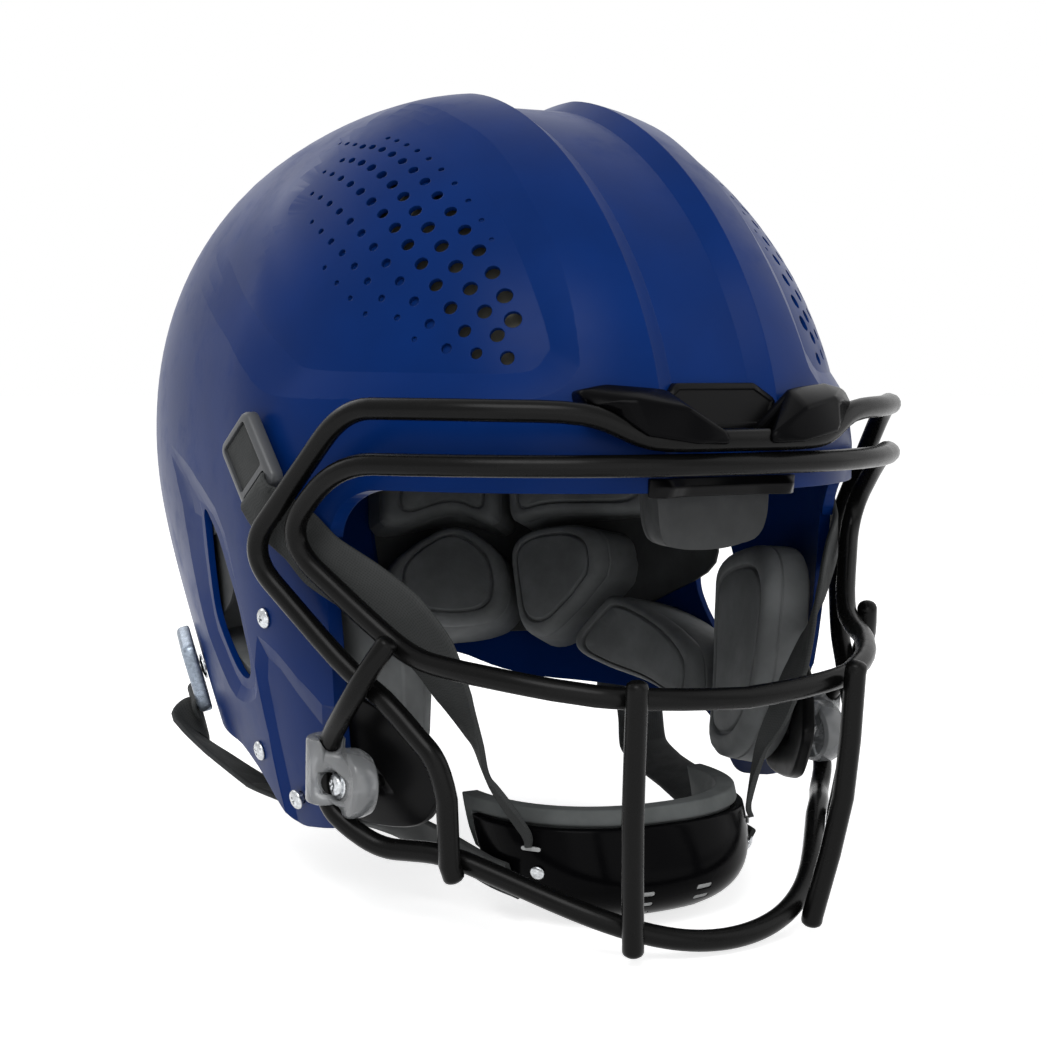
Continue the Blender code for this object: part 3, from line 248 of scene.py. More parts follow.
@dataclass(frozen=True)
class Finish:
    """A surface finish: its colour, gloss and fine relief.

    Each kind of finish overrides `relief` and `tint` to give its own detail.
    """

    name: str
    colour: Colour
    roughness: float = 0.4
    metallic: float = 0.0
    specular: float = 0.5
    transmission: float = 0.0
    edge_round: float = 0.5  # mm that hard edges are rounded by
    grain: float = 2.0  # marks per mm
    depth: float = 0.02  # relief in mm

    def where(self, nodes: NodeBuilder) -> Socket:
        """Object coordinates in millimetres."""
        place = nodes.node("ShaderNodeTexCoord", output="Object")
        settings = {"operation": "SCALE"}
        return nodes.node("ShaderNodeVectorMath", settings, {0: place, "Scale": 1 / MM})

    def noise(self, nodes: NodeBuilder, per_mm: float, detail: float = 3.0, spread: float = 0.5) -> Socket:
        """A cloud of values between 0 and 1.

        Args:
            nodes: The builder.
            per_mm: How many marks there are to a millimetre.
            detail: Finer and finer layers.
            spread: How strong the finer layers are.

        Returns:
            The value.
        """
        inputs = {"Vector": self.where(nodes), "Scale": per_mm, "Detail": detail, "Roughness": spread}
        return nodes.node("ShaderNodeTexNoise", {}, inputs)

    def toned(self, nodes: NodeBuilder, factor: Socket, dark: float, pale: float = 1.0) -> Socket:
        """The base colour between a darker and a paler tone.

        Args:
            nodes: The builder.
            factor: 0 for the darker tone, 1 for the paler.
            dark: The darker tone's share of the base colour.
            pale: The paler tone's share of it.

        Returns:
            The colour.
        """
        tones = [(*[min(1.0, channel * share) for channel in self.colour], 1.0) for share in (dark, pale)]
        return nodes.mixed(factor, *tones)

    def tint(self, nodes: NodeBuilder) -> Socket:
        """The base colour, a little darker and lighter from place to place."""
        return self.toned(nodes, self.noise(nodes, 0.03).step(0.3, 0.7), 0.92, 1.06)

    def gloss(self, nodes: NodeBuilder) -> Socket:
        """The roughness, with faint handling marks."""
        marks = self.noise(nodes, 0.12, 5.0, 0.6).step(0.35, 0.75)
        return marks * (self.roughness * 0.25) + self.roughness * 0.9

    def relief(self, nodes: NodeBuilder) -> Socket:
        """Height of the fine relief, from 0 to 1."""
        return self.noise(nodes, self.grain)

    def material(self) -> bpy.types.Material:
        """Builds the material, once for each finish.

        Returns:
            The material.
        """
        made = bpy.data.materials.get(self.name)
        if made:
            return made
        made = bpy.data.materials.new(self.name)
        made.diffuse_color = (*self.colour, 1.0)
        nodes = NodeBuilder.afresh(made)
        rounded = nodes.node("ShaderNodeBevel", {"samples": 4}, {"Radius": self.edge_round * MM})
        heights = {"Height": self.relief(nodes), "Distance": self.depth * MM}
        bump = nodes.node("ShaderNodeBump", {}, {**heights, "Strength": 1.0, "Normal": rounded})
        shader = nodes.node(
            "ShaderNodeBsdfPrincipled",
            {},
            {
                "Base Color": self.tint(nodes),
                "Roughness": self.gloss(nodes),
                "Metallic": self.metallic,
                "Specular IOR Level": self.specular,
                "Transmission Weight": self.transmission,
                "Normal": bump,
            },
        )
        nodes.node("ShaderNodeOutputMaterial", {}, {"Surface": shader})
        return made


@dataclass(frozen=True)
class ShellPaint(Finish):
    """Glossy colour with the slight waviness of a sprayed coat."""

    def relief(self, nodes: NodeBuilder) -> Socket:
        """Orange peel: low, wide waves."""
        return self.noise(nodes, 0.35, 2.0) * 0.8 + self.noise(nodes, 2.5, 2.0) * 0.2

    def gloss(self, nodes: NodeBuilder) -> Socket:
        """Gloss with a haze of fine scuffs."""
        scuffs = self.noise(nodes, 0.05, 6.0, 0.65).step(0.45, 0.8)
        return scuffs * 0.12 + self.roughness


@dataclass(frozen=True)
class WireCoating(Finish):
    """Thick dipped coating on wire, satin, with soft runs."""

    def relief(self, nodes: NodeBuilder) -> Socket:
        """Soft runs of the dip."""
        return self.noise(nodes, 0.25, 3.0) * 0.7 + self.noise(nodes, 3.0, 2.0) * 0.3


@dataclass(frozen=True)
class PlatedSteel(Finish):
    """Zinc-plated steel, dulled in patches."""

    def tint(self, nodes: NodeBuilder) -> Socket:
        """Plating that dulls in patches."""
        return self.toned(nodes, self.noise(nodes, 0.6, 4.0, 0.7).step(0.35, 0.7), 0.62)


@dataclass(frozen=True)
class Web(Finish):
    """Woven strap web, with its pattern in the strap's own UV map, in millimetres."""

    specular: float = 0.15
    pitch: float = 1.6

    def uv(self, nodes: NodeBuilder) -> tuple[Socket, Socket]:
        """Distances across and along the strap, in millimetres."""
        place = nodes.node("ShaderNodeUVMap", {"uv_map": "strap"})
        parts = [nodes.node("ShaderNodeSeparateXYZ", {}, {0: place}, axis) for axis in (0, 1)]
        return parts[0] * UV_UNIT, parts[1] * UV_UNIT

    def relief(self, nodes: NodeBuilder) -> Socket:
        """Chevron ribs of the weave."""
        across, along = self.uv(nodes)
        turn = 2 * math.pi / self.pitch
        ribs = (across * turn).wave().size()
        picks = ((along + across.wave() * 0.35) * (turn * 0.8)).wave().size()
        return ribs * 0.5 + picks * 0.5

    def tint(self, nodes: NodeBuilder) -> Socket:
        """Darker between the yarns as painted shade, and paler on top of them as a painted highlight."""
        return self.toned(nodes, self.relief(nodes).step(0.1, 0.8), 0.72, 1.12)


@dataclass(frozen=True)
class PadSkin(Finish):
    """Soft moulded skin over foam, matte, with fine pebbling."""

    specular: float = 0.15

    def relief(self, nodes: NodeBuilder) -> Socket:
        """Pebbled grain."""
        inputs = {"Vector": self.where(nodes), "Scale": 0.9}
        cells = nodes.node("ShaderNodeTexVoronoi", {"feature": "SMOOTH_F1"}, inputs)
        return cells * 0.7 + self.noise(nodes, 0.15, 3.0) * 0.6

    def tint(self, nodes: NodeBuilder) -> Socket:
        """A cloudy skin, paler in places as if rubbed."""
        return self.toned(nodes, self.noise(nodes, 0.04, 4.0, 0.6).step(0.3, 0.75), 0.8, 1.18)


@dataclass(frozen=True)
class ClearPlastic(Finish):
    """Smoke-tinted clear plastic, slightly frosted."""

    def relief(self, nodes: NodeBuilder) -> Socket:
        """Moulding ripple."""
        return self.noise(nodes, 0.4, 2.0)


SHELL_BLUE = ShellPaint("shell_paint", (0.0014, 0.02, 0.12), roughness=0.3, specular=0.05)
WIRE_BLACK = WireCoating("wire_coating", (0.003, 0.003, 0.003), roughness=0.27, specular=0.1, depth=0.03)
GLOSS_BLACK = Finish("gloss_black", (0.002, 0.002, 0.0024), roughness=0.2, specular=0.03, depth=0.01)
BUCKLE_GREY = Finish("buckle_grey", (0.07, 0.073, 0.078), roughness=0.34, specular=0.35)
BUCKLE_STEEL = PlatedSteel("buckle_steel", (0.3, 0.35, 0.42), roughness=0.3, metallic=0.8, edge_round=0.3)
SATIN_BLACK = Finish("satin_black", (0.003, 0.003, 0.0033), roughness=0.36, specular=0.08)
RUBBER_BLACK = Finish("rubber_black", (0.008, 0.008, 0.009), roughness=0.6, specular=0.2, depth=0.04)
STEEL = PlatedSteel("plated_steel", (0.62, 0.64, 0.66), roughness=0.26, metallic=1.0, edge_round=0.15)
SMOKE = ClearPlastic("smoke_plastic", (0.34, 0.35, 0.36), roughness=0.2, transmission=0.6, depth=0.03)
STRAP_WEB = Web("strap_web", (0.04, 0.042, 0.042), roughness=0.72, depth=0.09, edge_round=0.3)
SKIN = PadSkin("pad_skin", (0.17, 0.178, 0.18), roughness=0.62, depth=0.05, edge_round=0.6)
LINER = PadSkin("cup_liner", (0.1, 0.107, 0.107), roughness=0.7, depth=0.04)
# On the front pad this darker skin is painted shade for the shadow under the brow.
DARK_SKIN = PadSkin("dark_skin", (0.05, 0.052, 0.053), roughness=0.7, depth=0.04, edge_round=0.3)
FOAM = PadSkin("vent_foam", (0.13, 0.125, 0.1), roughness=0.85, depth=0.1)
SCREEN = PadSkin("vent_screen", (0.5, 0.51, 0.51), roughness=0.8, edge_round=0.1)


# ---------------------------------------------------------------- mesh building


def as_points(points: Iterable[Point]) -> list[Vector]:
    """Vectors of any points."""
    return [Vector(point) for point in points]


def flipped(point: Point, sign: int = -1) -> Vector:
    """A point with its X times a sign: the same point, or its mirror on the other side."""
    return Vector((point[0] * sign, point[1], point[2]))


def distances(path: Sequence[Point]) -> list[float]:
    """How far round a closed path each point lies, with the whole length at the end."""
    spots = as_points(path)
    far = [0.0]
    for one, two in zip(spots, [*spots[1:], spots[0]]):
        far.append(far[-1] + (two - one).length)
    return far


def curve(a: Vector, b: Vector, c: Vector, d: Vector, t: float) -> Vector:
    """The place a share t of the way from b to c, on a smooth curve through a, b, c and d."""
    return 0.5 * (b * 2 + (c - a) * t + (a * 2 - b * 5 + c * 4 - d) * t**2 + (b * 3 - a - c * 3 + d) * t**3)


def added(name: str, data: bpy.types.ID) -> Object:
    """A new object in the scene."""
    made = bpy.data.objects.new(name, data)
    bpy.context.scene.collection.objects.link(made)
    return made


def shade(mesh: Mesh, shading: Shading) -> None:
    """Sets how a mesh's faces are shaded.

    Args:
        mesh: The mesh.
        shading: Flat, smooth, or smooth up to an angle.
    """
    if shading is Shading.FLAT:
        mesh.shade_flat()
        return
    mesh.shade_smooth()
    if shading is Shading.BY_ANGLE:
        mesh.set_sharp_from_angle(angle=math.radians(shading.value))


def mesh_object(name: str, bm: bmesh.types.BMesh, shading: Shading = Shading.BY_ANGLE) -> Object:
    """Makes an object of a mesh in millimetres.

    Args:
        name: The object's name.
        bm: The mesh, which is freed.
        shading: How its faces are shaded.

    Returns:
        The object, at the origin, in metres.
    """
    bmesh.ops.scale(bm, vec=(MM, MM, MM), verts=bm.verts)
    bmesh.ops.recalc_face_normals(bm, faces=bm.faces)
    mesh = bpy.data.meshes.new(name)
    bm.to_mesh(mesh)
    bm.free()
    shade(mesh, shading)
    return added(name, mesh)


def read(items: Any, name: str, width: int = 1, kind: type = np.float64) -> np.ndarray:
    """One property of all vertices, loops or faces of a mesh.

    Args:
        items: The vertices, loops or faces.
        name: The property.
        width: How many numbers it has.
        kind: The type of its numbers.

    Returns:
        A row for each item, or a plain number where the width is 1.
    """
    values = np.zeros(len(items) * width, kind)
    items.foreach_get(name, values)
    return values.reshape(-1, width) if width > 1 else values


def settle(obj: Object) -> Object:
    """Applies an object's modifiers to its mesh."""
    bpy.context.view_layer.update()
    graph = bpy.context.evaluated_depsgraph_get()
    evaluated = obj.evaluated_get(graph)
    mesh = bpy.data.meshes.new_from_object(evaluated, preserve_all_data_layers=True, depsgraph=graph)
    obj.modifiers.clear()
    obj.data = mesh
    return obj


def drop(*objects: Object) -> None:
    """Removes helper objects."""
    for obj in objects:
        bpy.data.objects.remove(obj, do_unlink=True)


def merged(name: str, pieces: Sequence[Object]) -> Object:
    """Puts several separate shapes into one object.

    Args:
        name: The new object's name.
        pieces: The shapes, which are removed.

    Returns:
        The one object.
    """
    bm = bmesh.new()
    for piece in pieces:
        bm.from_mesh(piece.data)
    drop(*pieces)
    bmesh.ops.scale(bm, vec=(1 / MM, 1 / MM, 1 / MM), verts=bm.verts)
    return mesh_object(name, bm)


def cut(obj: Object, cutter: Object, operation: str = "DIFFERENCE") -> None:
    """Cuts an object with a closed cutter, which is then removed.

    Args:
        obj: The object that is cut.
        cutter: The closed solid.
        operation: DIFFERENCE, UNION or INTERSECT.
    """
    change = obj.modifiers.new("cut", "BOOLEAN")
    change.operation = operation
    change.object = cutter
    change.solver = "EXACT"
    settle(obj)
    drop(cutter)


def rounded(obj: Object, width: float, segments: int = 2, angle: float = 30.0) -> Object:
    """Rounds an object's hard edges.

    Args:
        obj: The object.
        width: How far each edge is rounded back, in millimetres.
        segments: Faces across the round.
        angle: Least angle between faces that counts as an edge, in degrees.

    Returns:
        The same object.
    """
    change = obj.modifiers.new("round", "BEVEL")
    change.width = width * MM
    change.segments = segments
    change.limit_method = "ANGLE"
    change.angle_limit = math.radians(angle)
    change.harden_normals = False
    return settle(obj)


def loft(
    name: str,
    rings: Sequence[Sequence[Point]],
    ends: tuple[Point | None, Point | None] = (None, None),
    shading: Shading = Shading.BY_ANGLE,
    uv: str | None = None,
) -> Object:
    """A closed skin through rings of equal length.

    Args:
        name: The object's name.
        rings: The rings, in order.
        ends: A pole for each end, or None for a flat end.
        shading: How its faces are shaded.
        uv: Name of a UV map that holds distance round and along.

    Returns:
        The object.
    """
    bm = bmesh.new()
    rows = [[bm.verts.new(point) for point in ring] for ring in rings]
    count = len(rings[0])
    layer = bm.loops.layers.uv.new(uv) if uv else None
    around = distances(rings[0])
    along = 0.0
    for one, two in zip(rows, rows[1:]):
        middle, next_middle = (sum((vert.co for vert in row), Vector()) / count for row in (one, two))
        reach = (next_middle - middle).length
        for k in range(count):
            after = (k + 1) % count
            face = bm.faces.new((one[k], one[after], two[after], two[k]))
            if not layer:
                continue
            for corner, (turn, rise) in zip(face.loops, ((k, 0), (k + 1, 0), (k + 1, reach), (k, reach))):
                corner[layer].uv = (around[turn] / UV_UNIT, (along + rise) / UV_UNIT)
        along += reach
    for pole, row in zip(ends, (rows[0], rows[-1])):
        if pole is None:
            bm.faces.new(row)
            continue
        tip = bm.verts.new(pole)
        for k in range(count):
            bm.faces.new((tip, row[k], row[(k + 1) % count]))
    return mesh_object(name, bm, shading)


def hull(name: str, points: Iterable[Point]) -> Object:
    """The tightest convex solid round some points."""
    bm = bmesh.new()
    for point in points:
        bm.verts.new(point)
    made = bmesh.ops.convex_hull(bm, input=bm.verts)
    spare = (*made["geom_unused"], *made["geom_interior"])
    loose = {item for item in spare if isinstance(item, bmesh.types.BMVert)}
    bmesh.ops.delete(bm, geom=list(loose), context="VERTS")
    bmesh.ops.dissolve_limit(bm, angle_limit=math.radians(2), verts=bm.verts, edges=bm.edges)
    return mesh_object(name, bm)


def prism(name: str, outline: Outline, start: float, end: float) -> Object:
    """A solid with a (y, z) outline between two places along X."""
    return loft(name, [[(x, y, z) for y, z in outline] for x in (start, end)])


def axes_of(direction: Vector) -> tuple[Vector, Vector]:
    """Two directions at right angles to one."""
    helper = UP if abs(direction.normalized().z) < 0.9 else Vector((0, 1, 0))
    one = direction.cross(helper).normalized()
    return one, direction.normalized().cross(one)


def wheel(centre: Vector, one: Vector, two: Vector, radius: float, sides: int) -> list[Vector]:
    """Points of a circle in the plane of two directions."""
    turns = [2 * math.pi * k / sides for k in range(sides)]
    return [centre + one * (math.cos(t) * radius) + two * (math.sin(t) * radius) for t in turns]


def circle(centre: Vector, direction: Vector, radius: float, sides: int) -> list[Vector]:
    """Points of a circle round a direction."""
    return wheel(centre, *axes_of(direction), radius, sides)


def turned(name: str, origin: Vector, axis: Vector, profile: Outline, sides: int = 32) -> Object:
    """A turned solid.

    Args:
        name: The object's name.
        origin: Where the profile's height is 0.
        axis: The axis it is turned about.
        profile: (radius, height) pairs from one end to the other.
        sides: How many sides it has.

    Returns:
        The object.
    """
    unit = axis.normalized()
    rings = [circle(origin + unit * height, unit, max(radius, 0.01), sides) for radius, height in profile]
    return loft(name, rings)


def bent(points: Sequence[Point], reach: float, closed: bool = False, step: float = 6.0) -> list[Vector]:
    """A path with its corners rounded.

    Args:
        points: The path's corners.
        reach: How far from a corner its round starts, where there is room.
        closed: Whether the path runs on from its last corner to its first.
        step: Degrees of turn for each piece of a round.

    Returns:
        The points of the rounded path.
    """
    corners = as_points(points)
    count = len(corners)
    path = [] if closed else [corners[0]]
    for k in range(count) if closed else range(1, count - 1):
        corner, before, after = corners[k], corners[k - 1], corners[(k + 1) % count]
        back, ahead = before - corner, after - corner
        start = corner + back.normalized() * min(reach, back.length / 2)
        end = corner + ahead.normalized() * min(reach, ahead.length / 2)
        turn = math.degrees(math.pi - back.angle(ahead))
        pieces = max(1, round(turn / step))
        for j in range(pieces + 1):
            t = j / pieces
            path.append(start * (1 - t) ** 2 + corner * 2 * t * (1 - t) + end * t**2)
    if not closed:
        path.append(corners[-1])
    least = 0.35  # mm between neighbours
    kept = [path[0]]
    for point in path[1:]:
        if (point - kept[-1]).length > least:
            kept.append(point)
    if closed and (kept[0] - kept[-1]).length < least:
        kept.pop()
    return kept


def tube(
    name: str, path: Sequence[Vector], radius: float, sides: int = 16, closed: bool = False
) -> Object:
    """A round wire along a path, with domed ends.

    Args:
        name: The object's name.
        path: Points along its middle.
        radius: The wire's radius.
        sides: How many sides its section has.
        closed: Whether it is a loop.

    Returns:
        The object.
    """
    count = len(path)
    one, _ = axes_of(path[1] - path[0])
    rings: list[list[Vector]] = []
    for k, point in enumerate(path):
        before = path[k - 1] if closed or k else point
        after = path[(k + 1) % count] if closed or k < count - 1 else point
        along = (after - before).normalized()
        one = (one - along * one.dot(along)).normalized()
        rings.append(wheel(point, one, along.cross(one), radius, sides))
    if closed:
        bm = bmesh.new()
        rows = [[bm.verts.new(point) for point in ring] for ring in rings]
        # The frame may have turned on its way round: the last ring joins the first at the
        # corner that lies nearest.
        shift = min(range(sides), key=lambda j: (rows[-1][0].co - rows[0][j].co).length)
        for k, row in enumerate(rows):
            after = rows[(k + 1) % count]
            turn = shift if k == count - 1 else 0
            after = [after[(j + turn) % sides] for j in range(sides)]
            for j in range(sides):
                nxt = (j + 1) % sides
                bm.faces.new((row[j], row[nxt], after[nxt], after[j]))
        return mesh_object(name, bm, Shading.SMOOTH)
    bulge = 0.6  # height of a domed end, as a share of the radius
    domes, tips = [], []
    for end, inner in ((0, 1), (-1, -2)):
        out = (path[end] - path[inner]).normalized()
        dome = []
        for turn in (25, 50, 72):
            wide, high = math.cos(math.radians(turn)), math.sin(math.radians(turn))
            middle = path[end] + out * (radius * bulge * high)
            dome.append([middle + (point - path[end]) * wide for point in rings[end]])
        domes.append(dome)
        tips.append(path[end] + out * radius * bulge)
    return loft(name, [*reversed(domes[0]), *rings, *domes[1]], (tips[0], tips[1]), Shading.SMOOTH)


def dressed(obj: Object, finish: Finish) -> Object:
    """Gives an object one finish all over."""
    obj.data.materials.clear()
    obj.data.materials.append(finish.material())
    return obj


def twin(obj: Object, name: str) -> Object:
    """A mirrored copy of an object, on the other side of the middle plane."""
    mesh = obj.data.copy()
    mesh.transform(Matrix.Diagonal((-1, 1, 1, 1)))
    mesh.flip_normals()
    return added(name, mesh)


def cut_both(obj: Object, left: Object) -> None:
    """Cuts an object with a cutter on the left and with its mirrored twin."""
    cut(obj, twin(left, "right_cutter"))
    cut(obj, left)


def place_piece(
    obj: Object, finish: Finish | None, body: str = ROOT, stands_for: Sequence[str] = ()
) -> Object:
    """Dresses a finished piece and fastens it to its body.

    Args:
        obj: The piece.
        finish: Its finish, or None where it already has one.
        body: The body it moves with.
        stands_for: The CAD nodes that it stands for.

    Returns:
        The piece.
    """
    if finish:
        dressed(obj, finish)
    if stands_for:
        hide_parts(*stands_for)
    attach(obj, body)
    LOG.info("%s: %d faces, rides on %s", obj.name, len(obj.data.polygons), body)
    return obj


def place_pair(
    obj: Object,
    stem: str,
    finish: Finish,
    body: Callable[[Side], str] | None = None,
    stands_for: Sequence[str] = (),
) -> tuple[Object, Object]:
    """Places a left piece and its mirrored twin.

    Args:
        obj: The left piece.
        stem: The name of both, less the side.
        finish: Their finish.
        body: What gives a side's body, where that isn't the helmet.
        stands_for: Stems of the CAD nodes that they stand for.

    Returns:
        The left and the right piece.
    """
    obj.name = f"{stem}_left_look"
    pair = (obj, twin(dressed(obj, finish), f"{stem}_right_look"))
    for side, piece in zip(Side, pair):
        rides = body(side) if body else ROOT
        place_piece(piece, None, rides, [f"{node}_{side.word}" for node in stands_for])
    return pair


# ---------------------------------------------------------------- shell


def narrowed(
    low: np.ndarray, high: np.ndarray, holds: Callable[[np.ndarray], np.ndarray], rounds: int
) -> np.ndarray:
    """Halves ranges towards the last value at which a test still holds.

    Args:
        low: Where each range starts; the test holds there.
        high: Where each range ends.
        holds: The test, given one value for each range.
        rounds: How often the ranges are halved.

    Returns:
        One value for each range.
    """
    for _ in range(rounds):
        middle = (low + high) / 2
        kept = holds(middle)
        low, high = np.where(kept, middle, low), np.where(kept, high, middle)
    return low


def dome(share: np.ndarray, power: float) -> np.ndarray:
    """How wide a rounded top still is at a share of its height."""
    return np.maximum(0, 1 - share**power) ** (1 / power)


@dataclass(frozen=True)
class ShellForm:
    """The smooth outer surface that every fitted piece follows.

    A plan at any height is a rounded oval about `centre_y`; above the equator its sizes fall
    like a dome's, below it they taper.
    """

    half_width: float = 115.5  # this and the two lengths are taken at the equator
    front: float = 138.0
    rear: float = 184.0
    rise: float = 128.5  # of the crown over the equator
    centre_y: float = -14.8
    equator: float = 162.5  # height of the widest plan
    wall: float = 4.6
    rim: float = 18.0  # height of a skin's lowest ring, below the trimmed edge
    band_floor: float = 14.8  # half width of the sunken band's floor
    band_edge: float = 22.5  # and of its mouth
    band_depth: float = 4.2
    head_height: float = 150.0
    side_dome: float = 2.444  # powers of the dome's profiles
    front_dome: float = 1.78
    rear_dome: float = 1.823
    side_taper: float = 0.081  # shares lost at 100 below the equator
    rear_taper: float = 0.168
    plan_ahead: float = 2.0  # powers of the plan's oval, and how they change with height
    ahead_loss: float = 0.586
    plan_behind: float = 2.2
    behind_gain: float = 0.67
    gain_reach: float = 60.0
    last_turn: float = 82.0  # degrees up to the last ring of a skin, over which it is closed

    @property
    def pivot(self) -> np.ndarray:
        """The middle of the head."""
        return np.array([0.0, self.centre_y, self.head_height])

    def section(self, z: np.ndarray) -> tuple[np.ndarray, np.ndarray, np.ndarray]:
        """Half width, front length and rear length at each height."""
        above = np.clip((z - self.equator) / self.rise, 0, 1)
        below = np.maximum(0, self.equator - z) / 100
        half = self.half_width * dome(above, self.side_dome) * (1 - self.side_taper * below**2)
        rear = self.rear * dome(above, self.rear_dome) * (1 - self.rear_taper * below**2)
        return half, self.front * dome(above, self.front_dome), rear

    def powers(self, z: np.ndarray) -> tuple[np.ndarray, np.ndarray]:
        """Roundness of the plan ahead and behind at each height."""
        ahead = self.plan_ahead - self.ahead_loss * np.clip((z - self.equator) / self.rise, 0, 1)
        depth = np.maximum(0, self.equator - z)
        return ahead, self.plan_behind + self.behind_gain * np.exp(-((depth / self.gain_reach) ** 2))

    def level(self, z: float) -> tuple[float, ...]:
        """Half width, front and rear length, and the powers ahead and behind, at one height."""
        height = np.array([float(z)])
        return tuple(float(value[0]) for value in (*self.section(height), *self.powers(height)))

    def share(self, points: np.ndarray) -> np.ndarray:
        """1 on the surface and less inside it."""
        z = points[:, 2]
        half, front, rear = self.section(z)
        ahead = points[:, 1] < self.centre_y
        power = np.where(ahead, *self.powers(z))
        length = np.where(ahead, front, rear)
        side = np.abs(points[:, 0] / np.maximum(half, 1e-6)) ** power
        along = np.abs((points[:, 1] - self.centre_y) / np.maximum(length, 1e-6)) ** power
        return (side + along) ** (1 / power)

    def normals(self, points: np.ndarray) -> np.ndarray:
        """The surface's outward directions at points on it."""
        top_margin, reach = 2.5, 0.4  # the very top has no slope; slopes are taken over this reach
        base = points.copy()
        base[:, 2] = np.minimum(base[:, 2], self.equator + self.rise - top_margin)
        slopes = np.zeros_like(base)
        for axis, shift in enumerate(np.eye(3) * reach):
            slopes[:, axis] = self.share(base + shift) - self.share(base - shift)
        return slopes / np.linalg.norm(slopes, axis=1, keepdims=True)

    def sunk(self, points: np.ndarray) -> np.ndarray:
        """Points moved down into the sunken band where they lie over it."""
        side = np.abs(points[:, 0])
        over = side < self.band_edge
        inward = np.zeros_like(points)
        inward[:, 1] = self.centre_y - points[:, 1]
        inward[:, 2] = np.minimum(0, self.equator - points[:, 2])
        inward /= np.maximum(np.linalg.norm(inward, axis=1, keepdims=True), 1e-9)
        edge = points.copy()
        edge[:, 0] = self.band_edge
        start, end = np.zeros(len(points)), np.full(len(points), 40.0)
        down = narrowed(start, end, lambda far: self.share(edge + inward * far[:, None]) > 1, 24)
        slope = np.clip((self.band_edge - side) / (self.band_edge - self.band_floor), 0, 1)
        moved = points + inward * (down + self.band_depth * slope)[:, None]
        return np.where(over[:, None], moved, points)

    def at(
        self, angles: np.ndarray, z: np.ndarray, inset: float | np.ndarray = 0.0, banded: bool = True
    ) -> np.ndarray:
        """Surface points, or points under them.

        Args:
            angles: Degrees round from the left; 90 is the rear and -90 the front.
            z: Heights.
            inset: How deep under the surface.
            banded: Whether the sunken band is followed.

        Returns:
            One point for each pair.
        """
        half, front, rear = self.section(z)
        turn = np.radians(angles)
        ahead = np.sin(turn) < 0
        power = np.where(ahead, *self.powers(z))
        across = np.sign(np.cos(turn)) * np.abs(np.cos(turn)) ** (2 / power)
        along = np.sign(np.sin(turn)) * np.abs(np.sin(turn)) ** (2 / power)
        points = np.stack([half * across, self.centre_y + np.where(ahead, front, rear) * along, z], axis=1)
        normals = self.normals(points)
        placed = self.sunk(points) if banded else points
        return placed - normals * np.broadcast_to(inset, z.shape)[:, None]

    def spot(self, angle: float, z: float, inset: float = 0.0, banded: bool = True) -> Vector:
        """One surface point, or a point under it."""
        return Vector(self.at(np.array([angle]), np.array([float(z)]), inset, banded)[0])

    def angle_at(self, y: float, z: float) -> float:
        """The angle of the left surface point at a y and a height."""
        _, front, rear, ahead, behind = self.level(z)
        power, length = (ahead, front) if y < self.centre_y else (behind, rear)
        share = min(1.0, abs(y - self.centre_y) / length)
        return math.degrees(math.copysign(math.asin(share ** (power / 2)), y - self.centre_y))

    def on_left(self, y: float, z: float, inset: float = 0.0, banded: bool = True) -> Vector:
        """The left surface point at a y and a height."""
        return self.spot(self.angle_at(y, z), z, inset, banded)

    def outline(self, points: Outline) -> Outline:
        """Turns (y, z) points of the left side into (angle, height) ones."""
        return [(self.angle_at(y, z), z) for y, z in points]

    def normal_at(self, point: Vector) -> Vector:
        """The outward direction at one point."""
        return Vector(self.normals(np.array([point[:]]))[0])

    def mount(self, y: float, z: float) -> tuple[Vector, Vector]:
        """The left surface point at a y and a height, with the outward direction there."""
        spot = self.on_left(y, z)
        return spot, self.normal_at(spot)

    def front_y(self, x: float, z: float) -> float:
        """How far forward the front reaches at a distance from the middle plane."""
        half, front, _, power, _ = self.level(z)
        reach = front * max(0.0, 1 - abs(x / half) ** power) ** (1 / power)
        return float(self.sunk(np.array([[x, self.centre_y - reach, z]]))[0][1])

    def cast(self, directions: np.ndarray, lift: float | np.ndarray = 0.0) -> np.ndarray:
        """Surface points seen from the middle of the head.

        Args:
            directions: Directions from the middle of the head.
            lift: How far outside the surface each point is put.

        Returns:
            One point for each direction.
        """
        unit = directions / np.linalg.norm(directions, axis=1, keepdims=True)

        def inside(far: np.ndarray) -> np.ndarray:
            """Whether points that far out are still inside."""
            points = self.pivot + unit * far[:, None]
            return (self.share(points) < 1) & (points[:, 2] < self.equator + self.rise)

        far = narrowed(np.zeros(len(unit)), np.full(len(unit), 260.0), inside, 34)
        found = self.pivot + unit * far[:, None]
        return found + self.normals(found) * np.broadcast_to(lift, far.shape)[:, None]

    def directions(self, points: Sequence[Point]) -> np.ndarray:
        """Directions of points from the middle of the head."""
        return np.array([tuple(point) for point in points], float) - self.pivot

    def ring_angles(self, level: float, steps: int) -> list[float]:
        """Angles of a ring's points, with lines of them along the sunken band's edges."""
        half, _, _, ahead, behind = self.level(level)
        angles: list[float] = []
        for start, turned_round in ((0, False), (90, True), (180, False), (270, True)):
            power = behind if start < 180 else ahead
            widths = (self.band_floor, self.band_edge)
            floor, edge = (math.degrees(math.asin((width / half) ** (power / 2))) for width in widths)
            step = (90 - edge) / steps
            quarter = [0.0, floor / 2, floor, *(edge + step * k for k in range(steps + 1))]
            if turned_round:
                angles += [start + angle for angle in quarter[:-1]]
            else:
                angles += [start + 90 - angle for angle in reversed(quarter)][:-1]
        return angles

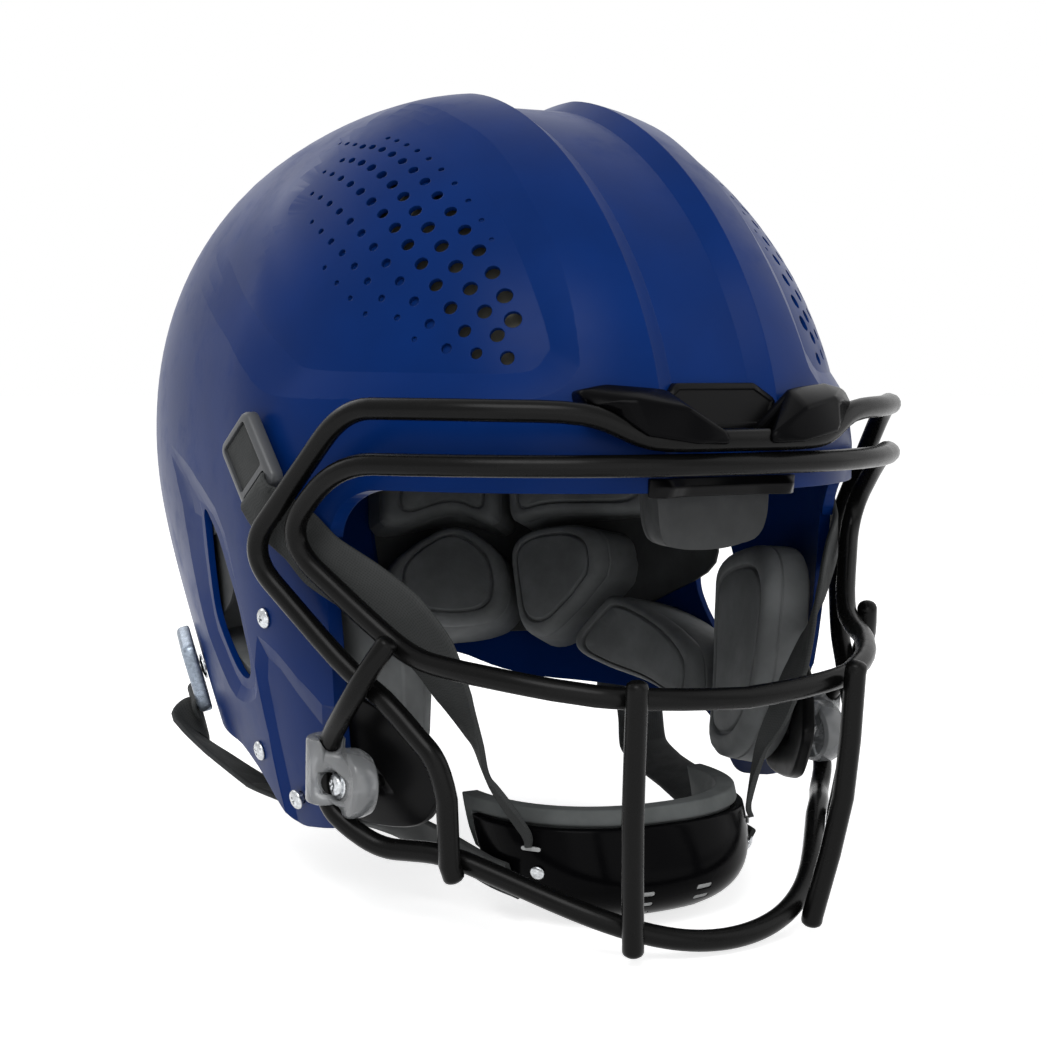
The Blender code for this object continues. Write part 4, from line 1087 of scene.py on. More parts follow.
    def crown(self, x: np.ndarray, y: np.ndarray) -> np.ndarray:
        """Heights of the surface near the crown."""
        low, high = np.full(len(x), self.equator), np.full(len(x), self.equator + self.rise)
        return narrowed(low, high, lambda z: self.share(np.stack([x, y, z], axis=1)) < 1, 30)

    def skin(
        self, name: str, offset: float, steps: int = 32, rows: int = 26, turn: float = 2.5
    ) -> Object:
        """The whole outside as a filled solid, grown by an offset.

        Args:
            name: The object's name.
            offset: How far outside the surface it is, or inside where below 0.
            steps: Points from the band's edge to the widest point.
            rows: Rings below the equator.
            turn: Degrees between the rings above it.

        Returns:
            The closed solid.
        """
        levels = [self.rim + (self.equator - self.rim) * k / rows for k in range(rows + 1)]
        turns = np.radians(np.arange(turn, self.last_turn + 0.1, turn))
        levels += [self.equator + self.rise * math.sin(angle) for angle in turns]
        rings = []
        for level in levels:
            angles = np.array(self.ring_angles(level, steps))
            rings.append(self.at(angles, np.full(len(angles), level), -offset))
        count, half = len(rings[0]), len(rings[0]) // 2
        points = [tuple(point) for ring in rings for point in ring]
        faces: list[tuple[int, ...]] = []
        for row in range(len(rings) - 1):
            base, above = row * count, (row + 1) * count
            for k in range(count):
                after = (k + 1) % count
                faces.append((base + k, base + after, above + after, above + k))
        faces.append(tuple(range(count)))
        top = (len(rings) - 1) * count
        across = 12
        last = rings[-1]
        lanes = []
        for k in range(1, half):
            shares = np.arange(1, across)[:, None] / across
            x, y, _ = (last[k] * (1 - shares) + last[count - k] * shares).T
            placed = self.sunk(np.stack([x, y, self.crown(x, y)], axis=1))
            placed[:, 2] += offset
            lanes.append([top + k, *range(len(points), len(points) + across - 1), top + count - k])
            points += [tuple(point) for point in placed]
        for side, lane in ((top, lanes[0]), (top + half, lanes[-1])):
            faces += [(side, one, two) for one, two in zip(lane, lane[1:])]
        for one, two in zip(lanes, lanes[1:]):
            faces += [(one[k], one[k + 1], two[k + 1], two[k]) for k in range(across)]
        mesh = bpy.data.meshes.new(name)
        mesh.from_pydata(points, [], faces)
        bm = bmesh.new()
        bm.from_mesh(mesh)
        bpy.data.meshes.remove(mesh)
        return mesh_object(name, bm)

    def seat(self, offset: float = GAP) -> Object:
        """A coarser filled solid of the outside that fitted pieces are trimmed with."""
        return self.skin("seat", offset, 24, 20, 4.0)


FORM = ShellForm()


def surface_cutter(
    name: str, outer: Sequence[Point], inner: Sequence[Point], depths: Sequence[float], rise: float = 2.0
) -> Object:
    """A solid that cuts a sunken panel with sloping edges into the left of the shell.

    Args:
        name: The object's name.
        outer: Where the slope starts, at the surface.
        inner: Where the slope ends, one point for each outer one.
        depths: How deep the panel is at each inner point.
        rise: How far the solid stands out of the shell.

    Returns:
        The cutter.
    """
    rim, floor = FORM.directions(outer), FORM.directions(inner)
    middle = floor.mean(axis=0)
    deep = np.array(depths, float)
    rings = []
    for scale in (0.12, 0.3, 0.5, 0.7, 0.86):
        rings.append(FORM.cast(middle * (1 - scale) + rim * scale, rise))
    spread = rim + (rim - floor) * (rise / np.maximum(deep, 0.3))[:, None] * 0.6
    rings.append(FORM.cast(spread, rise))
    for share in (0.0, 0.33, 0.67, 1.0):
        rings.append(FORM.cast(rim * (1 - share) + floor * share, -deep * share))
    for scale in (0.9, 0.78, 0.64, 0.5, 0.36, 0.22, 0.1):
        lift = -(deep * scale + deep.mean() * (1 - scale))
        rings.append(FORM.cast(middle * (1 - scale) + floor * scale, lift))
    poles = FORM.cast(np.array([middle, middle]), np.array([rise, -deep.mean()]))
    return loft(name, [[tuple(p) for p in ring] for ring in rings], (tuple(poles[0]), tuple(poles[1])))


def smoothed(points: Sequence[Point], pieces: int = 4) -> list[tuple[float, ...]]:
    """A closed outline with points put in along a smooth curve."""
    spots = as_points(points)
    count = len(spots)
    path = []
    for k in range(count):
        a, b, c, d = (spots[(k + j - 1) % count] for j in range(4))
        path += [tuple(curve(a, b, c, d, j / pieces)) for j in range(pieces)]
    return path


def stretched(values: Sequence[float], pieces: int = 4) -> list[float]:
    """Values of a closed outline, with values put in between."""
    made = []
    for one, two in zip(values, [*values[1:], values[0]]):
        made += [one * (1 - j / pieces) + two * j / pieces for j in range(pieces)]
    return made


class RepeatTree:
    """A Geometry Nodes tree that puts a master piece on every point of a mesh."""

    def __init__(self, name: str) -> None:
        """Builds the tree.

        Args:
            name: The tree's name.
        """
        self.tree = bpy.data.node_groups.new(name, "GeometryNodeTree")
        face = self.tree.interface
        face.new_socket("Geometry", in_out="OUTPUT", socket_type="NodeSocketGeometry")
        self.keys = {}
        inputs = {"Geometry": "Geometry", "Master": "Object", "Twist": "Float", "Material": "Material"}
        for label, kind in inputs.items():
            made = face.new_socket(label, in_out="INPUT", socket_type=f"NodeSocket{kind}")
            self.keys[label] = made.identifier
        nodes = NodeBuilder(self.tree)
        points, master, twist, material = nodes.outlets("NodeGroupInput", *inputs)
        settings = {"transform_space": "ORIGINAL"}
        piece = nodes.node("GeometryNodeObjectInfo", settings, {"Object": master}, "Geometry")
        named = "GeometryNodeInputNamedAttribute"
        axis = nodes.node(named, {"data_type": "FLOAT_VECTOR"}, {"Name": "axis"})
        size = nodes.node(named, {"data_type": "FLOAT"}, {"Name": "size"})
        limits = {"Max": math.pi, "Seed": 7}
        turn = nodes.node("FunctionNodeRandomValue", {"data_type": "FLOAT"}, limits, 1) * twist
        facing = nodes.node("FunctionNodeAlignRotationToVector", {"axis": "Z"}, {"Vector": axis})
        spin = nodes.node("FunctionNodeAxisAngleToRotation", {}, {"Axis": (0, 0, 1), "Angle": turn})
        both = nodes.node("FunctionNodeRotateRotation", {"rotation_space": "LOCAL"}, {0: facing, 1: spin})
        scale = nodes.node("ShaderNodeCombineXYZ", {}, {0: size, 1: size, 2: 1.0})
        inputs = {"Points": points, "Instance": piece, "Rotation": both, "Scale": scale}
        placed = nodes.node("GeometryNodeInstanceOnPoints", {}, inputs)
        solid = nodes.node("GeometryNodeRealizeInstances", {}, {0: placed})
        inputs = {"Geometry": solid, "Material": material}
        coloured = nodes.node("GeometryNodeSetMaterial", {}, inputs)
        nodes.node("NodeGroupOutput", {}, {0: coloured})

    def spread(
        self,
        name: str,
        spots: Sequence[tuple[Point, Point, float]],
        master: Object,
        finish: Finish,
        twist: float = 1.0,
    ) -> Object:
        """Puts the master on each spot and bakes the result.

        Args:
            name: The baked object's name.
            spots: Place, axis and width of each copy.
            master: The piece to repeat, which is removed, of unit width, with its axis along Z.
            finish: Its finish.
            twist: How much each is turned about its axis by chance.

        Returns:
            A plain mesh object with every copy in it.
        """
        mesh = bpy.data.meshes.new(name)
        mesh.from_pydata([tuple(Vector(place) * MM) for place, _, _ in spots], [], [])
        axes = [Vector(direction).normalized() for _, direction, _ in spots]
        axis = mesh.attributes.new("axis", "FLOAT_VECTOR", "POINT")
        axis.data.foreach_set("vector", [part for direction in axes for part in direction])
        size = mesh.attributes.new("size", "FLOAT", "POINT")
        size.data.foreach_set("value", [width for _, _, width in spots])
        made = added(name, mesh)
        change = made.modifiers.new("repeat", "NODES")
        change.node_group = self.tree
        for label, value in (("Master", master), ("Twist", twist), ("Material", finish.material())):
            change[self.keys[label]] = value
        settle(made)
        drop(master)
        for extra in ("axis", "size"):
            if extra in made.data.attributes:
                made.data.attributes.remove(made.data.attributes[extra])
        return made


@dataclass(frozen=True)
class VentRow:
    """One row of vents on the left, along a bend whose steps grow or shrink evenly."""

    bend: Outline
    count: int
    half_widths: tuple[float, float, float]
    ratio: float = 1.0

    def spots(self) -> Iterator[tuple[float, float, float]]:
        """The y, the height and the half width of each vent."""
        strides = [self.ratio**k for k in range(self.count - 1)]
        for k in range(self.count):
            along = sum(strides[:k]) / sum(strides)
            back = 1 - along
            shares = [math.comb(len(self.bend) - 1, n) * along**n for n in range(len(self.bend))]
            shares = [share * back ** (len(self.bend) - 1 - n) for n, share in enumerate(shares)]
            y, z = (sum(share * point[axis] for share, point in zip(shares, self.bend)) for axis in (0, 1))
            first, middle, last = self.half_widths
            wide = first * back * (1 - 2 * along) + 4 * middle * along * back
            yield y, z, wide + last * along * (2 * along - 1)


VENT_ROWS = (
    VentRow(((-98, 233), (-89, 243), (-62, 265), (-36, 271)), 10, (0.65, 0.9, 0.8), 0.86),
    VentRow(((-117, 206), (-102, 232), (-52, 268), (-31, 268)), 14, (2.65, 1.85, 1.1), 0.96),
    VentRow(((-120.5, 193.5), (-105, 221), (-52, 264), (-29, 263)), 15, (2.1, 2.15, 0.95), 0.97),
    VentRow(((-113, 195), (-100, 214), (-61, 252), (-25.5, 259)), 14, (1.75, 2.05, 0.7), 0.93),
    VentRow(((-105, 196.5), (-76, 229), (-47, 246), (-28, 251)), 12, (1.55, 1.4, 0.75), 1.01),
    VentRow(((-95, 199.5), (-70, 223), (-52, 232.5), (-37, 240.5)), 9, (0.8, 1.2, 0.7), 1.04),
    VentRow(((-76, 208), (-64.5, 216), (-53, 224)), 4, (0.75, 0.8, 0.75)),
    VentRow(((-26.5, 269), (-22, 269.8), (-17.5, 270)), 3, (0.8, 0.85, 0.6)),
)


@dataclass
class Shell:
    """The hard shell with its sunken panels, side slots and vents."""

    repeat: RepeatTree
    slot: Outline = (
        (20, 139), (7, 128), (-6, 105), (-11, 84), (-8, 77), (2, 78), (14, 88), (22, 98), (22, 134),
    )
    panel_outer: tuple[Point, ...] = (
        (104.4, 45.4, 225.0), (110.8, 17.6, 210.3), (113.3, -7.1, 198.7), (113.3, -23.0, 189.0),
        (112.6, -38.5, 181.2), (107.9, -59.4, 179.2), (89.4, -97.6, 179.4), (59.4, -129.3, 179.6),
        (46.5, -135.1, 187.1), (43.6, -132.0, 198.1), (41.4, -116.9, 223.9), (41.4, -96.5, 245.1),
        (41.0, -78.6, 260.6), (41.2, -64.3, 269.0), (43.0, -48.2, 276.0), (45.3, -27.2, 283.1),
        (54.0, 8.0, 284.0), (70.0, 38.0, 272.0), (92.0, 55.0, 247.0),
    )
    panel_inner: tuple[Point, ...] = (
        (100.0, 33.0, 238.0), (106.7, 9.7, 225.2), (110.2, -10.3, 214.2), (111.2, -27.8, 205.4),
        (109.4, -46.7, 194.6), (105.9, -60.8, 189.3), (88.3, -95.4, 188.6), (61.6, -124.2, 188.7),
        (53.2, -127.8, 194.3), (51.3, -125.8, 200.9), (51.4, -111.0, 223.0), (51.0, -92.7, 242.8),
        (51.4, -79.0, 253.5), (52.4, -66.0, 262.3), (55.1, -46.0, 272.3), (58.6, -28.6, 277.2),
        (65.0, 0.0, 274.5), (77.0, 22.0, 264.0), (90.0, 34.0, 250.0),
    )
    panel_depths: tuple[float, ...] = (
        1.2, 2.2, 2.8, 3.0, 3.0, 3.0, 3.0, 3.0, 3.0, 3.0, 3.0, 3.0, 2.8, 2.6, 2.2, 1.6, 0.9, 0.7, 0.8,
    )
    flap_outer: Outline = (
        (-26, 96), (-38, 92), (-50, 84), (-62, 76), (-96, 68), (-98, 14), (-52, 12), (-22, 22), (-22, 60),
        (-20, 84),
    )
    flap_inner: Outline = (
        (-29, 88), (-37, 85), (-47, 77), (-58, 68), (-92, 58), (-94, 18), (-54, 16), (-27, 28), (-27, 60),
        (-26, 80),
    )
    flap_depth: float = 1.8
    recess_outer: Outline = (
        (58, 160), (4, 139), (-12, 112), (-19, 86), (-16, 72), (6, 69), (23, 82), (34, 97), (44, 138),
    )
    recess_inner: Outline = (
        (24, 140), (5, 131), (-9, 105), (-14, 84), (-11, 75), (3, 74), (17, 86), (25, 97), (26, 134),
    )
    recess_depths: tuple[float, ...] = (1.6, 1.8, 2.2, 2.2, 2.0, 2.0, 2.2, 2.2, 2.0)
    screw_holes: tuple[tuple[float, float, float], ...] = (
        (-34, 103, 2.3), (-11, 52, 2.3), (-35, 38.5, 2.3), (-40, 157, 2.6), (66, 72, 2.6),
    )
    mouth: float = 1.08  # a vent's cutter is wider than its row says, by this and a margin
    margin: float = 0.1
    through_from: float = 1.95  # vents wider than this go through the wall

    def side_cutter(self) -> Object:
        """What trims the face opening and the lower edge, drawn from the side."""
        start, brow, radius = -93.0, 150.0, 20.0  # the round between the brow edge and the cheek
        corner = [(-88.0, brow)]
        for turn in range(8, 88, 8):
            angle = math.radians(turn)
            corner.append((start + radius * math.sin(angle), brow - radius * (1 - math.cos(angle))))
        front = [(-71.0, 138.0), (-70.2, 120.0), (-70.2, 94.0), (-66.0, 60.0), (-63.5, 40.0), (-60.0, 33.5)]
        jaw = [(-52.0, 30.5), (-28.0, 27.0), (-19.0, 32.0), (-6.0, 44.0), (11.0, 51.0), (92.0, 51.0)]
        nape = [(108.0, 54.0), (124.0, 62.0), (136.0, 66.0)]
        soft = bent([(0, *point) for point in (*front, *jaw, *nape)], 7.0)
        outside = [(260.0, 66.0), (260.0, -40.0), (-260.0, -40.0), (-260.0, 150.0)]
        return prism("side_cutter", [*corner, *((point.y, point.z) for point in soft), *outside], -200, 200)

    def slot_cutter(self, sign: int) -> Object:
        """The slot behind the jaw flap, on one side."""
        path = bent([(0, *point) for point in self.slot], 6.0, closed=True)
        low, high = sorted((sign * 60, sign * 160))
        return prism("slot_cutter", [(point.y, point.z) for point in path], low, high)

    def slot_recess(self) -> Object:
        """The sunken field round the slot, with its long slope up and back."""
        pairs = []
        for outline in (self.recess_outer, self.recess_inner):
            soft = smoothed([(y, z, 0) for y, z in outline], 3)
            pairs.append([FORM.on_left(y, z)[:] for y, z, _ in soft])
        return surface_cutter("slot_recess", *pairs, stretched(self.recess_depths, 3))

    def panel(self) -> Object:
        """The sunken vent panel."""
        depths = stretched(self.panel_depths)
        return surface_cutter("vent_panel", smoothed(self.panel_outer), smoothed(self.panel_inner), depths)

    def flap_recess(self) -> Object:
        """The sunken lower part of the jaw flap."""
        pairs = []
        for outline in (self.flap_outer, self.flap_inner):
            soft = bent([(0, y, z) for y, z in outline], 0.01, closed=True)
            pairs.append([FORM.on_left(point.y, point.z, 0, False)[:] for point in soft])
        return surface_cutter("flap_recess", *pairs, [self.flap_depth] * len(pairs[0]))

    def vents(self, through: bool) -> Object:
        """Round cutters of the vents.

        Args:
            through: Whether to make the ones that go through the wall, or the dimples.

        Returns:
            All the cutters of both sides as one object.
        """
        rows = []
        for y, z, radius in (spot for row in VENT_ROWS for spot in row.spots()):
            wide = radius * self.mouth + self.margin
            if (wide > self.through_from) is not through:
                continue
            spot, axis = FORM.mount(y, z)
            rows.append((spot - axis * (3.0 if through else 0.8 + 0.9 * wide), axis, wide))
        spots = []
        for sign in (1, -1):
            spots += [(flipped(place, sign), flipped(axis, sign), wide) for place, axis, wide in rows]
        reach = 7.0 if through else 2.0
        master = turned("vent_master", ORIGIN, UP, [(1.0, -reach), (1.0, reach)], 16)
        return self.repeat.spread("vent_cutters", spots, master, SHELL_BLUE, 0.0)

    def smooth_normals(self, shell: Object) -> None:
        """Gives the faces that follow the form its own smooth shading."""
        mesh = shell.data
        crease, near = math.radians(7), math.radians(6)
        mesh.set_sharp_from_angle(angle=crease)
        vertex = read(mesh.loops, "vertex_index", kind=np.int64)
        places = read(mesh.vertices, "co", 3) / MM
        smooth = FORM.normals(places)[vertex]
        totals = read(mesh.polygons, "loop_total", kind=np.int64)
        faces = np.repeat(read(mesh.polygons, "normal", 3), totals, axis=0)
        agree = (faces * smooth).sum(axis=1)
        side = np.abs(places[vertex][:, 0])
        follows = (np.abs(agree) > math.cos(near)) & (side > FORM.band_edge + 0.2)
        chosen = np.where(follows[:, None], smooth * np.sign(agree)[:, None], 0.0)
        mesh.normals_split_custom_set([tuple(row) for row in chosen])

    def build(self) -> None:
        """Makes the shell and fastens it to the helmet."""
        shell = FORM.skin("shell_look", 0.0)
        cut(shell, FORM.skin("head_room", -FORM.wall))
        cut(shell, self.side_cutter())
        for make in (self.panel, self.slot_recess, self.flap_recess):
            cut_both(shell, make())
        for sign in (1, -1):
            cut(shell, self.slot_cutter(sign))
        cut(shell, self.vents(True))
        cut(shell, self.vents(False))
        for y, z, radius in self.screw_holes:
            cut_both(shell, turned("hole", *FORM.mount(y, z), [(radius, -12), (radius, 6)], 20))
        self.smooth_normals(shell)
        place_piece(shell, SHELL_BLUE, stands_for=["shell"])


# ---------------------------------------------------------------- face mask


def between(path: Sequence[Vector], height: float, least_x: float) -> Vector:
    """The point at a height on the left side of a path."""
    found = []
    for one, two in zip(path, path[1:]):
        if min(one.x, two.x) > least_x and min(one.z, two.z) <= height <= max(one.z, two.z):
            found.append(one.lerp(two, (height - one.z) / (two.z - one.z)))
    return min(found, key=lambda point: point.x)


def at_side(path: Sequence[Vector], x: float) -> Vector:
    """The lowest point of a path at a distance from the middle plane."""
    found = []
    for one, two in zip(path, path[1:]):
        if min(one.x, two.x) <= x <= max(one.x, two.x) and one.x != two.x:
            found.append(one.lerp(two, (x - one.x) / (two.x - one.x)))
    return min(found, key=lambda point: point.z)


def relaxed(path: Sequence[Vector], side: float, rounds: int = 40) -> list[Vector]:
    """A path with its part near the middle plane evened out.

    Args:
        path: The path's left half, which ends on the middle plane.
        side: How far from the middle plane it starts to be evened out.
        rounds: How often each point is moved towards its neighbours.

    Returns:
        The evened path.
    """
    fine = [path[0]]
    for one, two in zip(path, path[1:]):
        pieces = max(1, round((two - one).length / 3.0)) if one.x < side + 12 else 1
        fine += [one.lerp(two, (j + 1) / pieces) for j in range(pieces)]
    for _ in range(rounds):
        before = [point.copy() for point in fine]
        for k in range(1, len(fine)):
            if before[k].x > side:
                continue
            ahead = before[k + 1] if k + 1 < len(fine) else flipped(before[k - 1])
            fine[k] = (before[k - 1] + before[k] * 2 + ahead) / 4
    return fine


def mirrored_path(half: Sequence[Vector]) -> list[Vector]:
    """The whole path whose left half starts on the middle plane."""
    return [flipped(point) for point in reversed(half)] + list(half[1:] if abs(half[0].x) < 0.01 else half)


@dataclass
class FaceMask:
    """The welded wires of the face mask."""

    radius: float = 3.6
    clearance: float = 0.35  # between a wire and a clip round it
    weld: float = 7.5  # between the middles of two wires that touch
    eye_join: float = 101.5  # height where the chin wire starts on the eye wire
    top_join: float = 85.5  # height where it crosses the top wire
    cheek: float = 60.0  # both joins lie farther out than this
    foot: float = 74.0  # how far out the top wire ends on the chin wire
    even_from: float = 70.0  # the chin wire is evened out from here to the middle
    upright_head: float = 40.0  # how far out the upright meets the eye wire
    upright_foot: float = 32.5  # and the chin wire
    eye: tuple[Point, ...] = (
        (0, -161.0, 159.2), (33, -159.0, 159.2), (55, -150.5, 159.2), (75, -138.0, 159.2),
        (95, -118.5, 159.2), (110.5, -94.5, 159.2), (118.0, -66.5, 133.6), (92.5, -95.5, 101.3),
        (87.5, -107, 96), (83, -118, 94.5), (76, -129, 93), (66, -141, 91), (55, -150, 88.8),
        (44, -157, 87.5), (22, -162, 86), (0, -163, 85),
    )
    top: tuple[Point, ...] = (
        (0, -161.0, 166.7), (27, -160.0, 166.7), (36, -157.5, 168.0), (47, -152.5, 174.2),
        (58, -147.5, 176.0), (72, -139.5, 176.2), (86, -128.0, 176.5), (98, -114.0, 176.6),
        (109.0, -97.5, 176.6), (124.0, -50.0, 128.0), (101.0, -82.0, 90.0), (94, -94, 82.5),
        (88, -105, 71), (85, -111, 66), (82.5, -113.5, 58), (80, -114, 45),
    )
    chin: tuple[Point, ...] = (
        (104, -72.6, 66.4), (104, -66.6, 54.4), (103, -69, 43), (99, -76, 37), (91, -83.5, 30.5),
        (84, -93, 30.5), (78, -100.5, 31), (65, -114, 26), (56, -127, 20.5), (47, -136, 16),
        (37, -146, 11.5), (20, -154, 6),
    )
    paths: dict[str, list[Vector]] = field(default_factory=dict)

    def route(self) -> None:
        """Works out the middle line of every wire."""
        eye = bent(self.eye, 17.0)
        top = bent(self.top, 15.0)
        knob = between(eye, self.eye_join, self.cheek) + Vector((0.6, -0.8, 0)) * (self.weld + GAP)
        crossing = between(top, self.top_join, self.cheek) + Vector((0.893, -0.423, -0.155)) * self.weld
        run = Vector((0.16, 0.62, -0.77)) * 7.0
        chin = [knob, crossing - run, crossing + run, *as_points(self.chin), Vector((0, -156, self.radius))]
        foot = at_side(bent(chin, 12.0, step=14.0)[::-1], self.foot)
        chin = relaxed(bent(chin, 12.0), self.even_from)
        top[-1] = foot + Vector((0.62, -0.78, 0.0)) * self.weld
        top.append(top[-1] + Vector((-0.3, -0.2, -1)) * 4.0)
        whole_eye = mirrored_path(eye)
        if (whole_eye[0] - whole_eye[-1]).length < 0.5:
            whole_eye = whole_eye[:-1]
        high = at_side(eye, self.upright_head) + Vector((0.25, -0.968, 0)) * self.weld
        low = at_side(chin[::-1], self.upright_foot) + Vector((0.4, -0.9, -0.15)).normalized() * self.weld
        lean = (high - low).normalized()
        middle = (high + low) / 2 + Vector((3.0, -3.0, 0))
        upright = bent([low - lean * 4.0, low, middle, high, high + lean * 5.0], 40.0)
        self.paths = {
            "mask_top_wire": mirrored_path(top),
            "mask_eye_wire": whole_eye,
            "mask_chin_wire": mirrored_path(chin[::-1]),
            "mask_upright_left": upright,
        }

    def build(self) -> None:
        """Makes the wires."""
        for name in ("mask_top_wire", "mask_eye_wire", "mask_chin_wire"):
            wire = tube(f"{name}_look", self.paths[name], self.radius, closed=name == "mask_eye_wire")
            place_piece(wire, WIRE_BLACK, stands_for=[name])
        upright = tube("upright", self.paths["mask_upright_left"], self.radius)
        place_pair(upright, "mask_upright", WIRE_BLACK, stands_for=["mask_upright"])

    def channel(self, name: str) -> Object:
        """A cutter a little fatter than one of the open wires."""
        return tube("wire_channel", self.paths[name], self.radius + self.clearance, 18)


# ---------------------------------------------------------------- fittings


@dataclass
class BrowFittings:
    """The brow plate, the two wing clips and the lip over the face opening."""

    mask: FaceMask
    plate: Outline = ((-15, 184.5), (15, 184.5), (22.7, 179), (18, 170), (-18, 170), (-22.7, 179))
    lift_top: float = 3.4
    lift_foot: float = 5.0
    clip: tuple[Point, ...] = (
        (8, -165.5, 165.5), (8, -166, 168.5), (8, -154, 170.5), (8, -154, 165.5), (20, -167, 166),
        (22, -164.5, 177), (24, -152, 183), (36, -163, 168.5), (38, -159, 180), (42, -147, 184.5),
        (50, -152.5, 177), (51.5, -146, 182.5), (49, -136, 182), (46, -134, 172), (30, -141, 166.5),
        (20, -153, 165.5), (26, -141, 176),
    )

    def plate_solid(self, grow: float = 0.0) -> Object:
        """The plate before its back is trimmed, grown all round by a margin."""
        top, foot = max(z for _, z in self.plate), min(z for _, z in self.plate)
        y_top, y_foot = FORM.front_y(0, top) - self.lift_top, FORM.front_y(0, foot) - self.lift_foot
        slope = (y_top - y_foot) / (top - foot)
        centre = Vector((0, 0, (top + foot) / 2))
        face = []
        for x, z in self.plate:
            out = Vector((x, 0, z - centre.z)).normalized() * grow
            spot = Vector((x + out.x, 0, z + out.z))
            face.append(Vector((spot.x, y_foot + slope * (spot.z - foot) - grow, spot.z)))
        back = [point + Vector((0, 12.0 + grow, 0)) for point in face]
        return hull("plate", [*face, *back])

    def build_plate(self) -> None:
        """The bare plate: a sunken field inside a rounded border."""
        plate = self.plate_solid()
        rounded(plate, 0.7, 3)
        bm = bmesh.new()
        bm.from_mesh(plate.data)
        front = max(bm.faces, key=lambda face: face.calc_area() if face.normal.y < -0.6 else 0)
        for border, step in ((1.3, 0.0), (0.35, -0.45)):
            bmesh.ops.inset_region(bm, faces=[front], thickness=border * MM, depth=step * MM)
        bm.to_mesh(plate.data)
        bm.free()
        shade(plate.data, Shading.BY_ANGLE)
        cut(plate, FORM.seat())
        plate.name = "brow_plate_look"
        place_piece(plate, SATIN_BLACK, stands_for=["brow_plate"])

    def build_clips(self) -> None:
        """The wing-shaped clips over the top wire."""
        clip = hull("clip", self.clip)
        rounded(clip, 1.7, 3, 18)
        cut(clip, FORM.seat())
        cut(clip, self.plate_solid(0.5))
        cut(clip, self.mask.channel("mask_top_wire"))
        place_pair(clip, "front_clip", GLOSS_BLACK, stands_for=["front_clip"])

    def build_lip(self) -> None:
        """The black lip that edges the shell over the face opening."""
        rings = []
        half, fade_over = 28.8, 4.0  # half length, and how far from its ends the lip thins out
        for x in map(float, np.linspace(-28, 28, 29)):
            front = FORM.front_y(x, 153)
            fade = min(1.0, (half - abs(x)) / fade_over)
            nose, chin = -4.6 * fade - 0.4, -3.0 * fade - 0.4
            section = ((-2.2, 154.6), (nose, 151.8), (chin, 148.5), (2, 148.5), (2, 154.6))
            rings.append([(x, front + depth, z) for depth, z in section])
        lip = loft("brow_lip_look", rings)
        rounded(lip, 0.5, 2)
        cut(lip, FORM.seat())
        place_piece(lip, SATIN_BLACK, stands_for=["brow_lip"])

    def build(self) -> None:
        """Makes all the brow fittings."""
        self.build_plate()
        self.build_clips()
        self.build_lip()


@dataclass
class RearBumper:
    """The black block at the middle of the nape edge."""

    rows: tuple[tuple[float, float, float, float], ...] = ((34, 1.0, 70, 84), (20, 4.2, 68, 88))
    sunk: float = 12.0

    def build(self) -> None:
        """Makes the bumper, from rows of half width, stand-off, foot and top."""
        points = []
        for x, depth, low, high in self.rows:
            middle = FORM.centre_y + FORM.level((low + high) / 2)[2]
            for z in (low, high):
                surface = FORM.centre_y + FORM.level(z)[2]
                for sign in (-1, 1):
                    points += [(sign * x, middle + depth, z), (sign * x, surface - self.sunk, z)]
        bumper = hull("rear_bumper_look", points)
        rounded(bumper, 1.1, 3)
        cut(bumper, FORM.seat())
        place_piece(bumper, RUBBER_BLACK, stands_for=["rear_bumper"])


def surface_patch(
    name: str,
    outline: Outline,
    rows: Outline,
    reach: float,
) -> Object:
    """A piece under the shell, behind an outline of (angle, height) points.

    Args:
        name: The object's name.
        outline: The outline's corners.
        rows: (share of the outline, inset) for each ring; the first and last are closed.
        reach: How far its corners are rounded.

    Returns:
        The closed piece.
    """
    density = 72  # points round each ring
    path = bent([(angle, z, 0) for angle, z in outline], reach, closed=True, step=10.0)
    count = len(path)
    lengths = distances(path)
    even = []
    for j in range(density):
        target = lengths[-1] * j / density
        k = max(i for i in range(count) if lengths[i] <= target + 1e-9)
        share = (target - lengths[k]) / max(lengths[k + 1] - lengths[k], 1e-9)
        even.append(path[k].lerp(path[(k + 1) % count], share))
    centre = sum(even, Vector()) / density
    rings = []
    for scale, inset in rows:
        spots = [centre + (point - centre) * scale for point in even]
        angles, levels = np.array([spot.x for spot in spots]), np.array([spot.y for spot in spots])
        rings.append([tuple(point) for point in FORM.at(angles, levels, inset, False)])
    first, last = (FORM.spot(centre.x, centre.y, row[1], False) for row in (rows[0], rows[-1]))
    return loft(name, rings, (first, last))


def slab(deep: float, thick: float) -> Outline:
    """Rows of a surface patch with plain faces and square edges."""
    return [(0.5, deep), (1.0, deep), (1.0, deep + thick), (0.5, deep + thick)]


